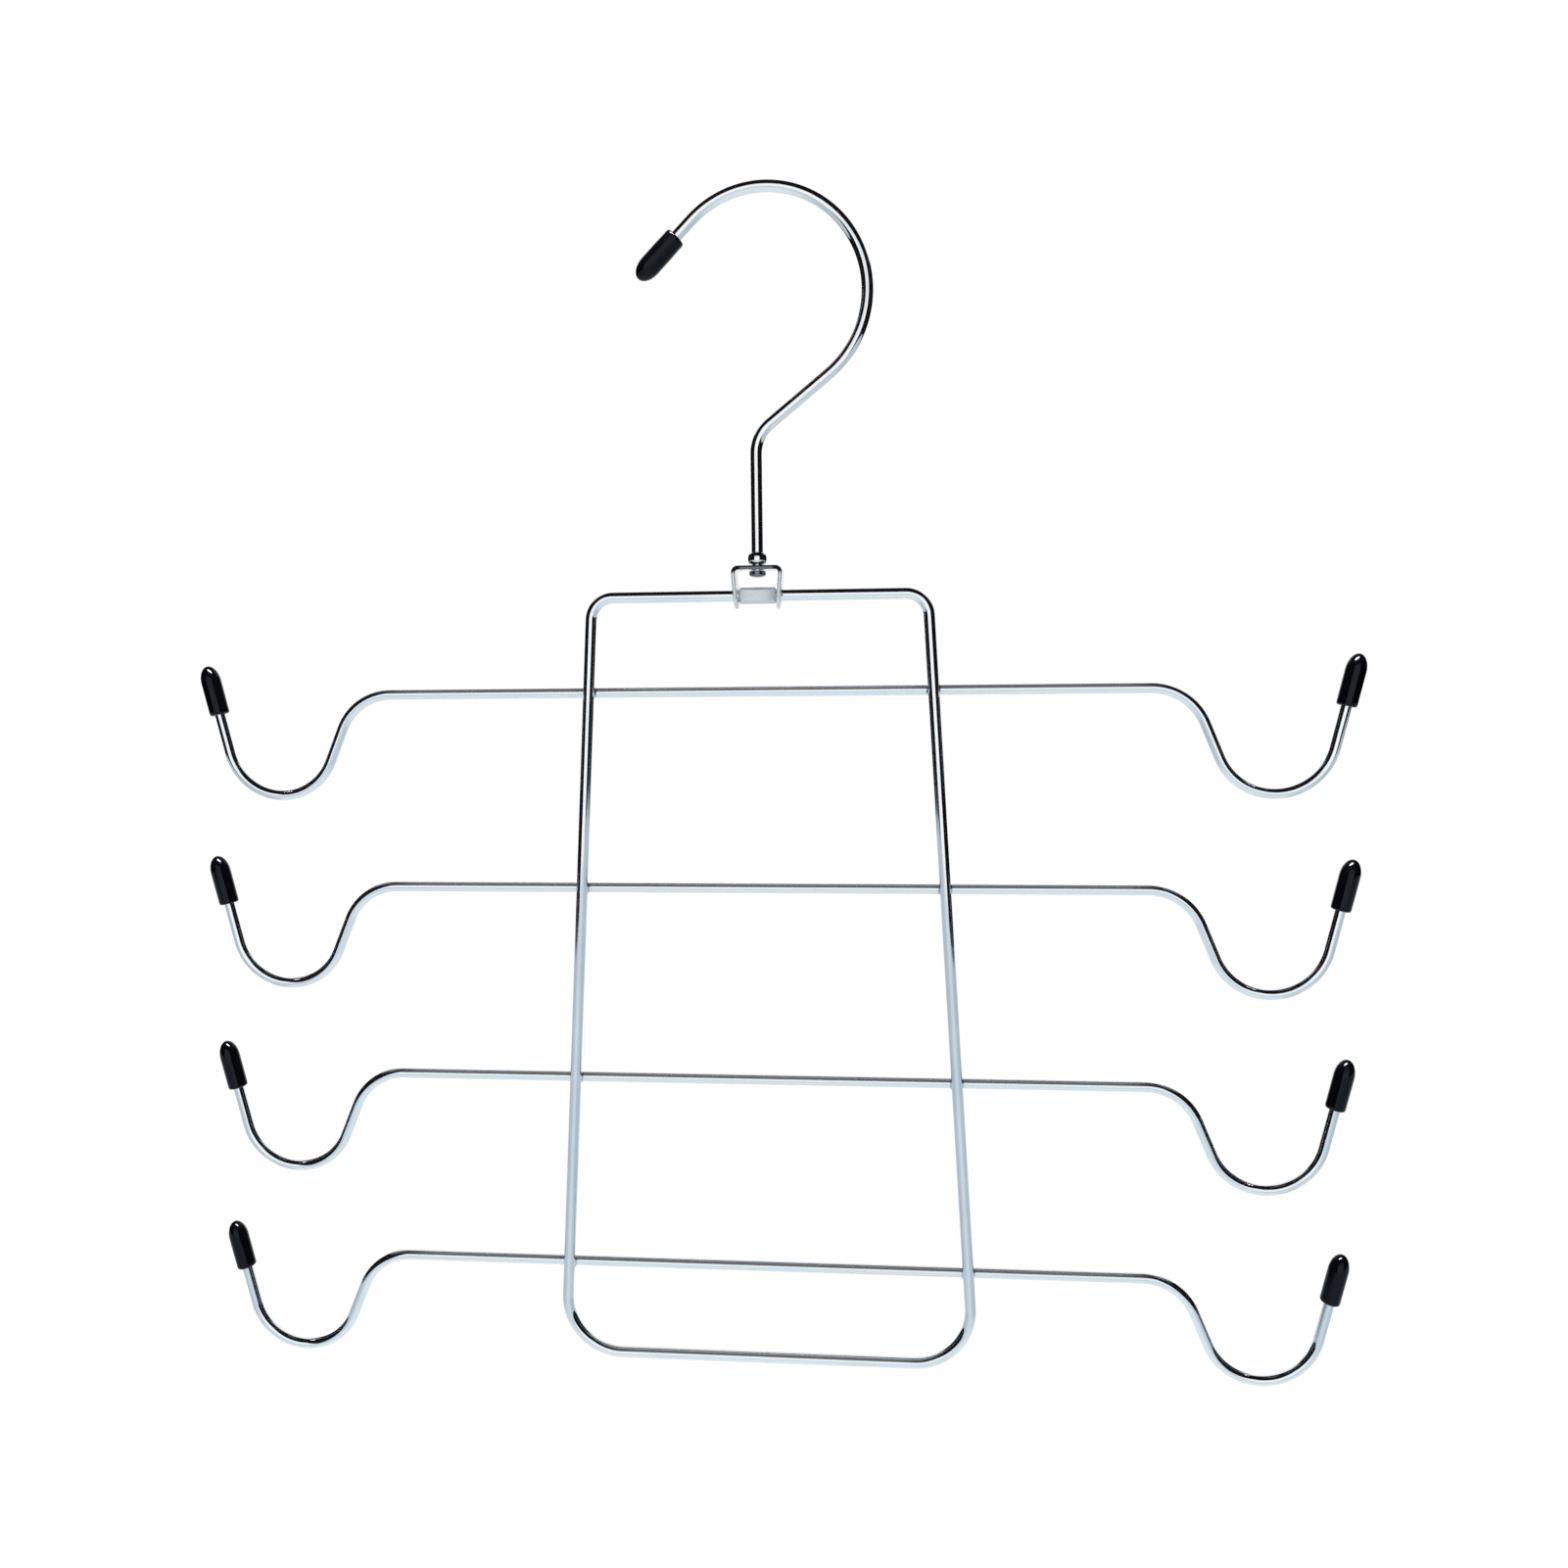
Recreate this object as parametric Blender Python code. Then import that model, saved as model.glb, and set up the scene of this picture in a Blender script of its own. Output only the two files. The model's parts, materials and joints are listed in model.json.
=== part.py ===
"""Folding multi hanger: four strap bars on a bent wire loop, under a hook that turns and folds.

Every wire lies in a plane of constant Y: X runs to the right, -Y faces the viewer and +Z is up.
The origin is the point of the hook's inner side, straight above the swivel axis, that rests on the rod.
The sizes below are in millimetres and the meshes are in metres.
"""
import math

import bmesh
import bpy
from mathutils import Matrix, Vector

MM = 0.001

# Clearances
FIT_GAP = 0.3            # between any two pieces that touch on the real hanger
WELD_SETDOWN = 0.5       # how far the bars and the loop are pressed into each other at a weld

# Hook wire
HOOK_WIRE_DIAMETER = 3.5
SHANK_RISE = 42.1        # fold axis to the start of the bend
SHANK_BEND_RADIUS = 11.1
SHANK_BEND_TURN = 51.5   # degrees away from straight up
DIAGONAL_RUN = 22.75
CROWN_RADIUS = 30.6      # centre line of the big round
CROWN_TURN = 186.5
HOOK_TAIL_RUN = 22.9     # straight end, to the nose of its tip
COLLAR_DIAMETER = 5.8
COLLAR_HEIGHT = 3.7
COLLAR_ROUND = 1.1       # radius of its upper and lower rims
COLLAR_RUNOUT = 0.5      # slope from the collar up to the wire
NECK_DIAMETER = 3.0      # where the wire passes through the clip
HEAD_DIAMETER = 5.0
HEAD_HEIGHT = 1.9
HEAD_RIM = 0.6           # straight rim above the peened dome

# Swivel clip, a bent strap with a hole in its top and one in each leg
CLIP_THICKNESS = 1.2
CLIP_HOLE_LAND = 2.0     # metal left round a leg's hole
CLIP_WINDOW = 2.7        # free height between the hook's head and the pressed wire
CLIP_LEG_LEAN = 4.2      # degrees, each leg leans in towards its foot
CLIP_BEND_RADIUS = 2.2   # outside

# Loop, one wire bent into a tapering frame and butt-welded at the bottom
LOOP_WIRE_DIAMETER = 3.4
LOOP_TOP_HALF_WIDTH = 51.2
LOOP_BOTTOM_HALF_WIDTH = 65.4
LOOP_TOP_CORNER_RADIUS = 7.0
LOOP_BOTTOM_CORNER_RADIUS = 17.6
PRESSED_LENGTH = 11.4    # the flat that keeps the clip in the middle of the top run
PRESSED_HEIGHT = 5.0
PRESSED_THICKNESS = 2.2
PRESSED_SHOULDER = 0.9   # run-out from the flat to the round wire

# Tier bars
TIER_COUNT = 4
FIRST_TIER_DROP = 29.0   # below the loop's top run
TIER_PITCH = 61.1
LAST_TIER_RISE = 28.9    # above the loop's bottom run
BAR_WIRE_DIAMETER = 3.2
BAR_HALF_RUN = 117.3     # middle of the bar to the shoulder bend
SHOULDER_RADIUS = 17.5
SHOULDER_TURN = 67.0
SHOULDER_RUN = 11.4      # straight slope between the two bends
CRADLE_RADIUS = 17.5
CRADLE_TURN = 144.0
CRADLE_TAIL_RUN = 28.5   # straight end, to the nose of its tip

# Vinyl tips
TIP_WALL = 1.05
TIP_NOSE_WALL = 1.6      # vinyl ahead of the wire's end
TIP_NOSE_LENGTH = 5.2    # rounded part
TIP_MOUTH_ROUND = 0.35
TIP_SWELL = 0.12         # the barrel is a little fuller than the mouth
BAR_TIP_LENGTH = 15.8
HOOK_TIP_LENGTH = 16.6

# Facets
WIRE_SIDES = 14
HOOK_SIDES = 16
BEND_STEP = 7.5          # degrees turned by one facet of a bend
RIM_STEPS = 3            # facets across a rounded rim
NOSE_STEPS = 5           # facets from a tip's nose to its barrel
MOUTH_STEPS = 2          # facets across the round of a tip's mouth
FOOT_STEPS = 12          # facets round a clip foot
CLIP_BEND_STEPS = 6      # facets across a bend of the clip
SHARP_ANGLE = 40.0       # degrees, edges sharper than this stay crisp

# Places worked out from the sizes
HOOK_RADIUS = HOOK_WIRE_DIAMETER / 2
LOOP_RADIUS = LOOP_WIRE_DIAMETER / 2
BAR_RADIUS = BAR_WIRE_DIAMETER / 2
TIER_DROPS = [FIRST_TIER_DROP + TIER_PITCH * tier for tier in range(TIER_COUNT)]
LOOP_HEIGHT = TIER_DROPS[-1] + LAST_TIER_RISE
LOOP_LEAN = math.degrees(math.atan2(LOOP_BOTTOM_HALF_WIDTH - LOOP_TOP_HALF_WIDTH, LOOP_HEIGHT))
BAR_DEPTH = LOOP_RADIUS + BAR_RADIUS - WELD_SETDOWN
PRESSED_REACH = math.hypot(PRESSED_HEIGHT, PRESSED_THICKNESS) / 2
LEG_HOLE_RADIUS = LOOP_RADIUS + FIT_GAP
CLIP_HALF_DEPTH = LEG_HOLE_RADIUS + CLIP_HOLE_LAND
HEAD_BOTTOM = PRESSED_REACH + CLIP_WINDOW
HEAD_TOP = HEAD_BOTTOM + HEAD_HEIGHT
CLIP_UNDERSIDE = HEAD_TOP + FIT_GAP
CLIP_TOP = CLIP_UNDERSIDE + CLIP_THICKNESS
COLLAR_BOTTOM = CLIP_TOP + FIT_GAP


def hook_crown_centre():
    """Centre of the hook's big round, as X and height above the fold axis."""
    heading = math.radians(90.0 - SHANK_BEND_TURN)
    bend_x = SHANK_BEND_RADIUS * (1.0 - math.sin(heading))
    bend_z = SHANK_RISE + SHANK_BEND_RADIUS * math.cos(heading)
    start_x = bend_x + DIAGONAL_RUN * math.cos(heading)
    start_z = bend_z + DIAGONAL_RUN * math.sin(heading)
    return start_x - CROWN_RADIUS * math.sin(heading), start_z + CROWN_RADIUS * math.cos(heading)


def rod_height():
    """Height above the fold axis of the hook's inner side, on the swivel axis."""
    crown_x, crown_z = hook_crown_centre()
    return crown_z + math.sqrt((CROWN_RADIUS - HOOK_RADIUS) ** 2 - crown_x ** 2)


FOLD_AXIS_Z = -rod_height()


class WireFormer:
    """Feeds a round section forward and bends it in its own plane, as a wire-forming machine does.

    Positions are millimetres in X and Z, headings are degrees from +X towards +Z.
    """

    def __init__(self, x, z, heading, radius, sides, depth=0.0):
        self.mesh = bmesh.new()
        self.place = Vector((x, depth, z))
        self.heading = math.radians(heading)
        self.radius = radius
        turn = Matrix.Rotation(math.pi / 2 - self.heading, 4, "Y")
        section = bmesh.ops.create_circle(
            self.mesh, segments=sides, radius=radius * MM,
            matrix=Matrix.Translation(self.place * MM) @ turn)
        self.front = list({edge for vert in section["verts"] for edge in vert.link_edges})

    def direction(self):
        return Vector((math.cos(self.heading), 0.0, math.sin(self.heading)))

    def feed(self, length, radius=None):
        """Carry the section straight on, and swell or draw it to another radius on the way."""
        grown = bmesh.ops.extrude_edge_only(self.mesh, edges=self.front)["geom"]
        verts = [item for item in grown if isinstance(item, bmesh.types.BMVert)]
        self.front = [item for item in grown if isinstance(item, bmesh.types.BMEdge)
                      and all(vert in verts for vert in item.verts)]
        bmesh.ops.translate(self.mesh, verts=verts, vec=self.direction() * length * MM)
        self.place += self.direction() * length
        if radius is not None:
            factor = radius / self.radius
            about = Matrix.Translation(-self.place * MM)
            bmesh.ops.scale(self.mesh, verts=verts, vec=(factor,) * 3, space=about)
            self.radius = radius
        return self

    def bend(self, radius, turn):
        """Bend by turn degrees, to the left if positive, round a former of this centre-line radius."""
        side = math.copysign(1.0, turn)
        normal = Vector((-math.sin(self.heading), 0.0, math.cos(self.heading))) * side
        centre = self.place + normal * radius
        geometry = self.front + list({vert for edge in self.front for vert in edge.verts})
        spun = bmesh.ops.spin(
            self.mesh, geom=geometry, cent=centre * MM, axis=(0.0, -1.0, 0.0),
            angle=math.radians(turn), steps=max(2, math.ceil(abs(turn) / BEND_STEP)), use_duplicate=False)
        self.front = [item for item in spun["geom_last"] if isinstance(item, bmesh.types.BMEdge)]
        arm = Matrix.Rotation(math.radians(turn), 3, (0.0, -1.0, 0.0)) @ (self.place - centre)
        self.place = centre + arm
        self.heading += math.radians(turn)
        return self

    def end(self):
        """X, Z and heading in degrees of the wire's free end."""
        return self.place.x, self.place.z, math.degrees(self.heading)

    def finish(self, name, close_start=True, close_front=True):
        """Fill the ends that stay free and hand over the mesh."""
        boundary = [edge for edge in self.mesh.edges if edge.is_boundary]
        front = set(self.front)
        chosen = [edge for edge in boundary
                  if (close_front and edge in front) or (close_start and edge not in front)]
        if chosen:
            bmesh.ops.holes_fill(self.mesh, edges=chosen, sides=0)
        return to_mesh(self.mesh, name)


def to_mesh(geometry, name):
    """Turn the faces outwards and store the geometry as a smooth-shaded mesh with crisp edges."""
    bmesh.ops.recalc_face_normals(geometry, faces=geometry.faces)
    mesh = bpy.data.meshes.new(name)
    geometry.to_mesh(mesh)
    geometry.free()
    return shade(mesh)


def shade(mesh):
    """Shade round surfaces smooth and keep real edges crisp."""
    mesh.shade_smooth()
    mesh.set_sharp_from_angle(angle=math.radians(SHARP_ANGLE))
    return mesh


def make_material(name, colour, metallic, roughness):
    """One plain finish, in the colour and gloss of the real one."""
    material = bpy.data.materials.new(name)
    material.use_nodes = True
    shader = material.node_tree.nodes["Principled BSDF"]
    shader.inputs["Base Color"].default_value = (*colour, 1.0)
    shader.inputs["Metallic"].default_value = metallic
    shader.inputs["Roughness"].default_value = roughness
    material.diffuse_color = (*colour, 1.0)
    return material


def make_empty(name, parent=None, z=0.0):
    """Mark an axis or a resting place, this high above its parent."""
    empty = bpy.data.objects.new(name, None)
    empty.empty_display_size = 8 * MM
    empty.parent = parent
    empty.location = (0.0, 0.0, z * MM)
    bpy.context.collection.objects.link(empty)
    return empty


def make_piece(name, mesh, parent, finish):
    """Link a mesh as one named piece with its own material, under the empty of its joint."""
    piece = bpy.data.objects.new(name, mesh)
    piece.parent = parent
    mesh.materials.clear()
    mesh.materials.append(make_material(name, *finish))
    bpy.context.collection.objects.link(piece)
    return piece


def mirror_across_middle(piece):
    """Complete a piece that is modelled as its right half, open at X = 0."""
    mirror = piece.modifiers.new("other_half", "MIRROR")
    mirror.use_axis = (True, False, False)
    mirror.merge_threshold = 0.00001


def carve(piece, tool, operation="DIFFERENCE"):
    """Cut a piece with a tool solid, or keep only what the two share."""
    cut = piece.modifiers.new(tool.name, "BOOLEAN")
    cut.operation = operation
    cut.solver = "EXACT"
    cut.object = tool


def make_tool(mesh, parent):
    """Place a solid that only shapes other pieces."""
    tool = bpy.data.objects.new(mesh.name, mesh)
    tool.parent = parent
    tool.display_type = "WIRE"
    tool.hide_render = True
    bpy.context.collection.objects.link(tool)
    return tool


def settle(piece, *tools):
    """Apply the modifiers in order, shade the finished surface and put the tools away."""
    bpy.context.view_layer.update()
    graph = bpy.context.evaluated_depsgraph_get()
    shaped = bpy.data.meshes.new_from_object(piece.evaluated_get(graph))
    piece.modifiers.clear()
    piece.data = shade(shaped)
    for tool in tools:
        bpy.data.objects.remove(tool, do_unlink=True)
    return piece


CHROME = ((0.80, 0.81, 0.83), 1.0, 0.08)
BRIGHT_NICKEL = ((0.74, 0.75, 0.77), 1.0, 0.18)
BLACK_VINYL = ((0.012, 0.012, 0.014), 0.0, 0.28)


def hook_wire(parent):
    """Hook: peened head, neck, upset collar, shank, diagonal, round crown and straight tail."""
    head = HEAD_DIAMETER / 2
    neck = NECK_DIAMETER / 2
    collar = COLLAR_DIAMETER / 2
    dome = HEAD_HEIGHT - HEAD_RIM
    rim = min(COLLAR_ROUND, COLLAR_HEIGHT / 2, collar - neck)
    quarter = math.pi / 2
    first = quarter / (RIM_STEPS + 1)
    wire = WireFormer(0.0, HEAD_BOTTOM, 90.0, head * math.sin(first), HOOK_SIDES)
    for step in range(1, RIM_STEPS + 1):
        angle = first + (quarter - first) * step / RIM_STEPS
        height = HEAD_BOTTOM + dome * (1.0 - math.cos(angle) / math.cos(first))
        wire.feed(height - wire.place.z, head * math.sin(angle))
    wire.feed(HEAD_RIM, head)
    wire.feed(0.0, neck)
    wire.feed(COLLAR_BOTTOM - HEAD_TOP, neck)
    wire.feed(0.0, collar - rim)
    for step in range(1, RIM_STEPS + 1):
        angle = quarter * step / RIM_STEPS
        height = COLLAR_BOTTOM + rim * (1.0 - math.cos(angle))
        wire.feed(height - wire.place.z, collar - rim * (1.0 - math.sin(angle)))
    wire.feed(COLLAR_HEIGHT - 2 * rim, collar)
    for step in range(1, RIM_STEPS + 1):
        angle = quarter * step / RIM_STEPS
        height = COLLAR_BOTTOM + COLLAR_HEIGHT - rim * (1.0 - math.sin(angle))
        wire.feed(height - wire.place.z, collar - rim * (1.0 - math.cos(angle)))
    wire.feed(COLLAR_RUNOUT, HOOK_RADIUS)
    wire.feed(SHANK_RISE - wire.place.z)
    wire.bend(SHANK_BEND_RADIUS, -SHANK_BEND_TURN)
    wire.feed(DIAGONAL_RUN)
    wire.bend(CROWN_RADIUS, CROWN_TURN)
    wire.feed(HOOK_TAIL_RUN - TIP_NOSE_WALL - FIT_GAP)
    end = wire.end()
    return make_piece("hook_wire", wire.finish("hook_wire"), parent, CHROME), end


def vinyl_tip(name, parent, wire_end, depth, wire_radius, length, sides):
    """Dipped tip pushed over a wire's end: a bullet nose, a full barrel, a soft mouth and its bore."""
    bore = wire_radius + FIT_GAP
    mouth = bore + TIP_WALL
    barrel = mouth + TIP_SWELL
    barrel_end = length - TIP_NOSE_LENGTH
    bore_end = length - TIP_NOSE_WALL
    quarter = math.pi / 2
    outline = [(0.0, length)]
    for step in range(1, NOSE_STEPS + 1):
        angle = quarter * step / NOSE_STEPS
        outline.append((barrel * math.sin(angle), barrel_end + TIP_NOSE_LENGTH * math.cos(angle)))
    for step in range(MOUTH_STEPS + 1):
        angle = quarter * step / MOUTH_STEPS
        outline.append((mouth - TIP_MOUTH_ROUND * (1.0 - math.cos(angle)),
                        TIP_MOUTH_ROUND * (1.0 - math.sin(angle))))
    outline += [(bore, 0.0), (bore, bore_end), (0.0, bore_end)]
    shape = bmesh.new()
    verts = [shape.verts.new((radius * MM, 0.0, along * MM)) for radius, along in outline]
    edges = [shape.edges.new(pair) for pair in zip(verts, verts[1:])]
    bmesh.ops.spin(shape, geom=verts + edges, cent=(0.0, 0.0, 0.0), axis=(0.0, 0.0, 1.0),
                   angle=math.tau, steps=sides, use_duplicate=False)
    bmesh.ops.remove_doubles(shape, verts=shape.verts, dist=0.00001)
    piece = make_piece(name, to_mesh(shape, name), parent, BLACK_VINYL)
    x, z, heading = wire_end
    pushed_on = bore_end - FIT_GAP
    forward = Vector((math.cos(math.radians(heading)), 0.0, math.sin(math.radians(heading))))
    piece.location = (Vector((x, depth, z)) - forward * pushed_on) * MM
    piece.rotation_euler = (0.0, math.pi / 2 - math.radians(heading), 0.0)
    return piece


def swivel_clip(parent):
    """Clip: a strap bent over the loop's top run, its feet rounded about the holes in its legs."""
    lean = math.radians(CLIP_LEG_LEAN)
    outer_at_axis = PRESSED_LENGTH / 2 + FIT_GAP + CLIP_THICKNESS / math.cos(lean)
    top_half = outer_at_axis + CLIP_TOP * math.tan(lean)
    foot_half = outer_at_axis - CLIP_HALF_DEPTH * math.tan(lean)
    strap = bmesh.new()
    corners = ((foot_half, -CLIP_HALF_DEPTH), (top_half, CLIP_TOP),
               (-top_half, CLIP_TOP), (-foot_half, -CLIP_HALF_DEPTH))
    verts = [strap.verts.new((x * MM, CLIP_HALF_DEPTH * MM, z * MM)) for x, z in corners]
    edges = [strap.edges.new(pair) for pair in zip(verts, verts[1:])]
    grown = bmesh.ops.extrude_edge_only(strap, edges=edges)["geom"]
    near_side = [item for item in grown if isinstance(item, bmesh.types.BMVert)]
    bmesh.ops.translate(strap, verts=near_side, vec=(0.0, -2 * CLIP_HALF_DEPTH * MM, 0.0))
    folds = [edge for edge in strap.edges
             if edge.verts[0].co.z > 0 and edge.verts[1].co.z > 0 and len(edge.link_faces) == 2]
    bmesh.ops.bevel(strap, geom=folds, offset=CLIP_BEND_RADIUS * MM, segments=CLIP_BEND_STEPS,
                    profile=0.5, affect="EDGES")
    bmesh.ops.recalc_face_normals(strap, faces=strap.faces)
    if max(strap.faces, key=lambda face: face.calc_center_median().z).normal.z < 0:
        bmesh.ops.reverse_faces(strap, faces=strap.faces)
    mesh = bpy.data.meshes.new("swivel_clip")
    strap.to_mesh(mesh)
    strap.free()
    clip = make_piece("swivel_clip", mesh, parent, BRIGHT_NICKEL)
    sheet = clip.modifiers.new("sheet", "SOLIDIFY")
    sheet.thickness = CLIP_THICKNESS * MM
    sheet.offset = -1.0
    sheet.use_even_offset = True

    reach = 2 * top_half
    blank = make_tool(foot_blank(reach), parent)
    carve(clip, blank, "INTERSECT")
    leg_drill = WireFormer(-reach, 0.0, 0.0, LEG_HOLE_RADIUS, HOOK_SIDES).feed(2 * reach)
    leg_holes = make_tool(leg_drill.finish("leg_holes"), parent)
    carve(clip, leg_holes)
    top_drill = WireFormer(0.0, HEAD_BOTTOM, 90.0, NECK_DIAMETER / 2 + FIT_GAP, HOOK_SIDES)
    top_hole = make_tool(top_drill.feed(CLIP_TOP).finish("top_hole"), parent)
    carve(clip, top_hole)
    return settle(clip, blank, leg_holes, top_hole)


def foot_blank(reach):
    """The strap's outline from the side, open above: straight edges and a foot round about the fold axis."""
    side_view = bmesh.new()
    open_above = CLIP_TOP + CLIP_THICKNESS
    outline = [(-CLIP_HALF_DEPTH, open_above)]
    for step in range(FOOT_STEPS + 1):
        angle = math.pi + math.pi * step / FOOT_STEPS
        outline.append((CLIP_HALF_DEPTH * math.cos(angle), CLIP_HALF_DEPTH * math.sin(angle)))
    outline.append((CLIP_HALF_DEPTH, open_above))
    verts = [side_view.verts.new((-reach * MM, y * MM, z * MM)) for y, z in outline]
    grown = bmesh.ops.extrude_face_region(side_view, geom=[side_view.faces.new(verts)])["geom"]
    far_side = [item for item in grown if isinstance(item, bmesh.types.BMVert)]
    bmesh.ops.translate(side_view, verts=far_side, vec=(2 * reach * MM, 0.0, 0.0))
    return to_mesh(side_view, "foot_blank")


def formed_loop(radius, pressed):
    """Right half of the loop, from the middle of its top run round to the middle of its bottom run."""
    top_turn = 90.0 - LOOP_LEAN
    bottom_turn = 90.0 + LOOP_LEAN
    top_cut = LOOP_TOP_CORNER_RADIUS * math.tan(math.radians(top_turn / 2))
    bottom_cut = LOOP_BOTTOM_CORNER_RADIUS * math.tan(math.radians(bottom_turn / 2))
    side_run = LOOP_HEIGHT / math.cos(math.radians(LOOP_LEAN)) - top_cut - bottom_cut
    wire = WireFormer(0.0, 0.0, 0.0, radius, WIRE_SIDES)
    wire.feed(PRESSED_LENGTH / 2 - PRESSED_SHOULDER)
    for _ in range(RIM_STEPS):
        wire.feed(PRESSED_SHOULDER / RIM_STEPS)
    if pressed:
        press_flat(wire.mesh)
    wire.feed(LOOP_TOP_HALF_WIDTH - PRESSED_LENGTH / 2 - top_cut)
    wire.bend(LOOP_TOP_CORNER_RADIUS, -top_turn)
    wire.feed(side_run)
    wire.bend(LOOP_BOTTOM_CORNER_RADIUS, -bottom_turn)
    wire.feed(LOOP_BOTTOM_HALF_WIDTH - bottom_cut)
    return wire


def press_flat(run):
    """Squeeze the middle of the top run into a flat with rounded edges, easing out over its shoulders."""
    for vert in run.verts:
        from_end = PRESSED_LENGTH / 2 - vert.co.x / MM
        squeeze = min(1.0, max(0.0, from_end / PRESSED_SHOULDER))
        squeeze = squeeze * squeeze * (3.0 - 2.0 * squeeze)
        tall = 1.0 + squeeze * (PRESSED_HEIGHT / LOOP_WIRE_DIAMETER - 1.0)
        half_thickness = LOOP_RADIUS + squeeze * (PRESSED_THICKNESS / 2 - LOOP_RADIUS)
        vert.co.z *= tall
        vert.co.y = math.copysign(min(abs(vert.co.y), half_thickness * MM), vert.co.y)


def loop_wire(parent):
    """Tapering loop with the pressed flat that the clip's legs close round."""
    wire = formed_loop(LOOP_RADIUS, pressed=True)
    mesh = wire.finish("loop_wire", close_start=False, close_front=False)
    loop = make_piece("loop_wire", mesh, parent, CHROME)
    mirror_across_middle(loop)
    return settle(loop)


def weld_seats(parent):
    """The loop's own path, fuller by the fitting gap, which presses the seats into the bars."""
    wire = formed_loop(LOOP_RADIUS + FIT_GAP, pressed=False)
    mesh = wire.finish("weld_seats", close_start=False, close_front=False)
    seats = make_tool(mesh, parent)
    mirror_across_middle(seats)
    return seats


def tier_bar(tier, parent, seats):
    """Strap bar: a straight run behind the loop with a dipped cradle and an upturned end each side."""
    wire = WireFormer(0.0, -TIER_DROPS[tier], 0.0, BAR_RADIUS, WIRE_SIDES, BAR_DEPTH)
    wire.feed(BAR_HALF_RUN)
    wire.bend(SHOULDER_RADIUS, -SHOULDER_TURN)
    wire.feed(SHOULDER_RUN)
    wire.bend(CRADLE_RADIUS, CRADLE_TURN)
    wire.feed(CRADLE_TAIL_RUN - TIP_NOSE_WALL - FIT_GAP)
    x, z, heading = wire.end()
    name = f"tier_{tier + 1}_bar"
    mesh = wire.finish(name, close_start=False)
    bar = make_piece(name, mesh, parent, CHROME)
    mirror_across_middle(bar)
    carve(bar, seats)
    settle(bar)
    ends = {"right": (x, z, heading), "left": (-x, z, 180.0 - heading)}
    for side, end in ends.items():
        vinyl_tip(f"tier_{tier + 1}_tip_{side}", parent, end, BAR_DEPTH, BAR_RADIUS,
                  BAR_TIP_LENGTH, WIRE_SIDES)
    return bar


def main():
    """Build the sixteen pieces under the empties of their joints."""
    for leftover in list(bpy.data.objects):
        bpy.data.objects.remove(leftover, do_unlink=True)
    rod_rest = make_empty("rod_rest")
    hook_place = make_empty("hook_place", rod_rest, FOLD_AXIS_Z)
    swivel_axis = make_empty("swivel_axis", rod_rest, FOLD_AXIS_Z)
    fold_axis = make_empty("fold_axis", swivel_axis)

    _, hook_end = hook_wire(hook_place)
    vinyl_tip("hook_tip", hook_place, hook_end, 0.0, HOOK_RADIUS, HOOK_TIP_LENGTH, HOOK_SIDES)
    swivel_clip(swivel_axis)
    loop_wire(fold_axis)
    seats = weld_seats(fold_axis)
    for tier in range(TIER_COUNT):
        tier_bar(tier, fold_axis, seats)
    bpy.data.objects.remove(seats, do_unlink=True)


main()
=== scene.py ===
"""Folding multi hanger: chromed wires, a swivel clip and vinyl tips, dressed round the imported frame.

Sizes are millimetres and degrees where nothing else is said, and the finished meshes are metres.
X runs to the right along the bars, -Y faces the viewer and +Z is up. Every wire lies in a plane
of constant Y, and the origin is the point of the hook's inner side that rests on the rod.
"""
from __future__ import annotations

import json
import logging
import math
from collections.abc import Callable, Iterator, Sequence
from contextlib import contextmanager
from dataclasses import dataclass
from enum import Enum

import bmesh
import bpy
import numpy as np
from mathutils import Matrix, Vector

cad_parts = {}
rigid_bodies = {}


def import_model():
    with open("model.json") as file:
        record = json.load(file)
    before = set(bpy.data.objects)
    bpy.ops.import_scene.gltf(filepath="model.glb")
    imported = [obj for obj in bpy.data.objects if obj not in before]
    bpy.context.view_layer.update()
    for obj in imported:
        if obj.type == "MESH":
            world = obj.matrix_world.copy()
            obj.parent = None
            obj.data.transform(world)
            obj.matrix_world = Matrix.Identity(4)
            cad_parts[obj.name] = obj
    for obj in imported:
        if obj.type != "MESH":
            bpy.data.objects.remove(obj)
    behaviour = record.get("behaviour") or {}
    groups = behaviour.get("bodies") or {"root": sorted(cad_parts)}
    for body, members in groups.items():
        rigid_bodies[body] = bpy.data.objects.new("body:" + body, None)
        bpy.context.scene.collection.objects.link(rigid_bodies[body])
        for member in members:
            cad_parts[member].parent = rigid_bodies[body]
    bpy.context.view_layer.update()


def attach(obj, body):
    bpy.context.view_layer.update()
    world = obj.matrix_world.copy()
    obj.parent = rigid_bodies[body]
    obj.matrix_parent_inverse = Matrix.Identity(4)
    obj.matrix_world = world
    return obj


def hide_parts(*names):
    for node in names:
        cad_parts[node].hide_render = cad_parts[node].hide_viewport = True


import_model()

LOG = logging.getLogger("hanger")
MM = 0.001
QUARTER = math.pi / 2
FOLD_AXIS_Z = -117.596      # the loop's top run and the axis that the frame folds about
GAP = 0.3                   # between pieces that touch on the real hanger
NEAR = 0.01                 # points this close count as being at the same place
STOCK = "stock"             # attribute: a point's place on the straight stock, before any bend
STOCK_LENGTH = 700.0        # the stock cut for one wire, so that no two wires share their marks

Pair = tuple[float, float]
Triple = tuple[float, float, float]
Inputs = dict[str, "Signal | Sequence[float] | float"]


class Body(Enum):
    """Bodies of the frame that a piece can ride on."""

    HOOK = "hook"
    CLIP = "clip"
    FRAME = "tier_frame"


class Slot(Enum):
    """Material slots of the record."""

    HOOK_CHROME = "hook_chrome"
    FRAME_CHROME = "frame_chrome"
    CLIP_NICKEL = "clip_nickel"
    BLACK_VINYL = "black_vinyl"


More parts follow.
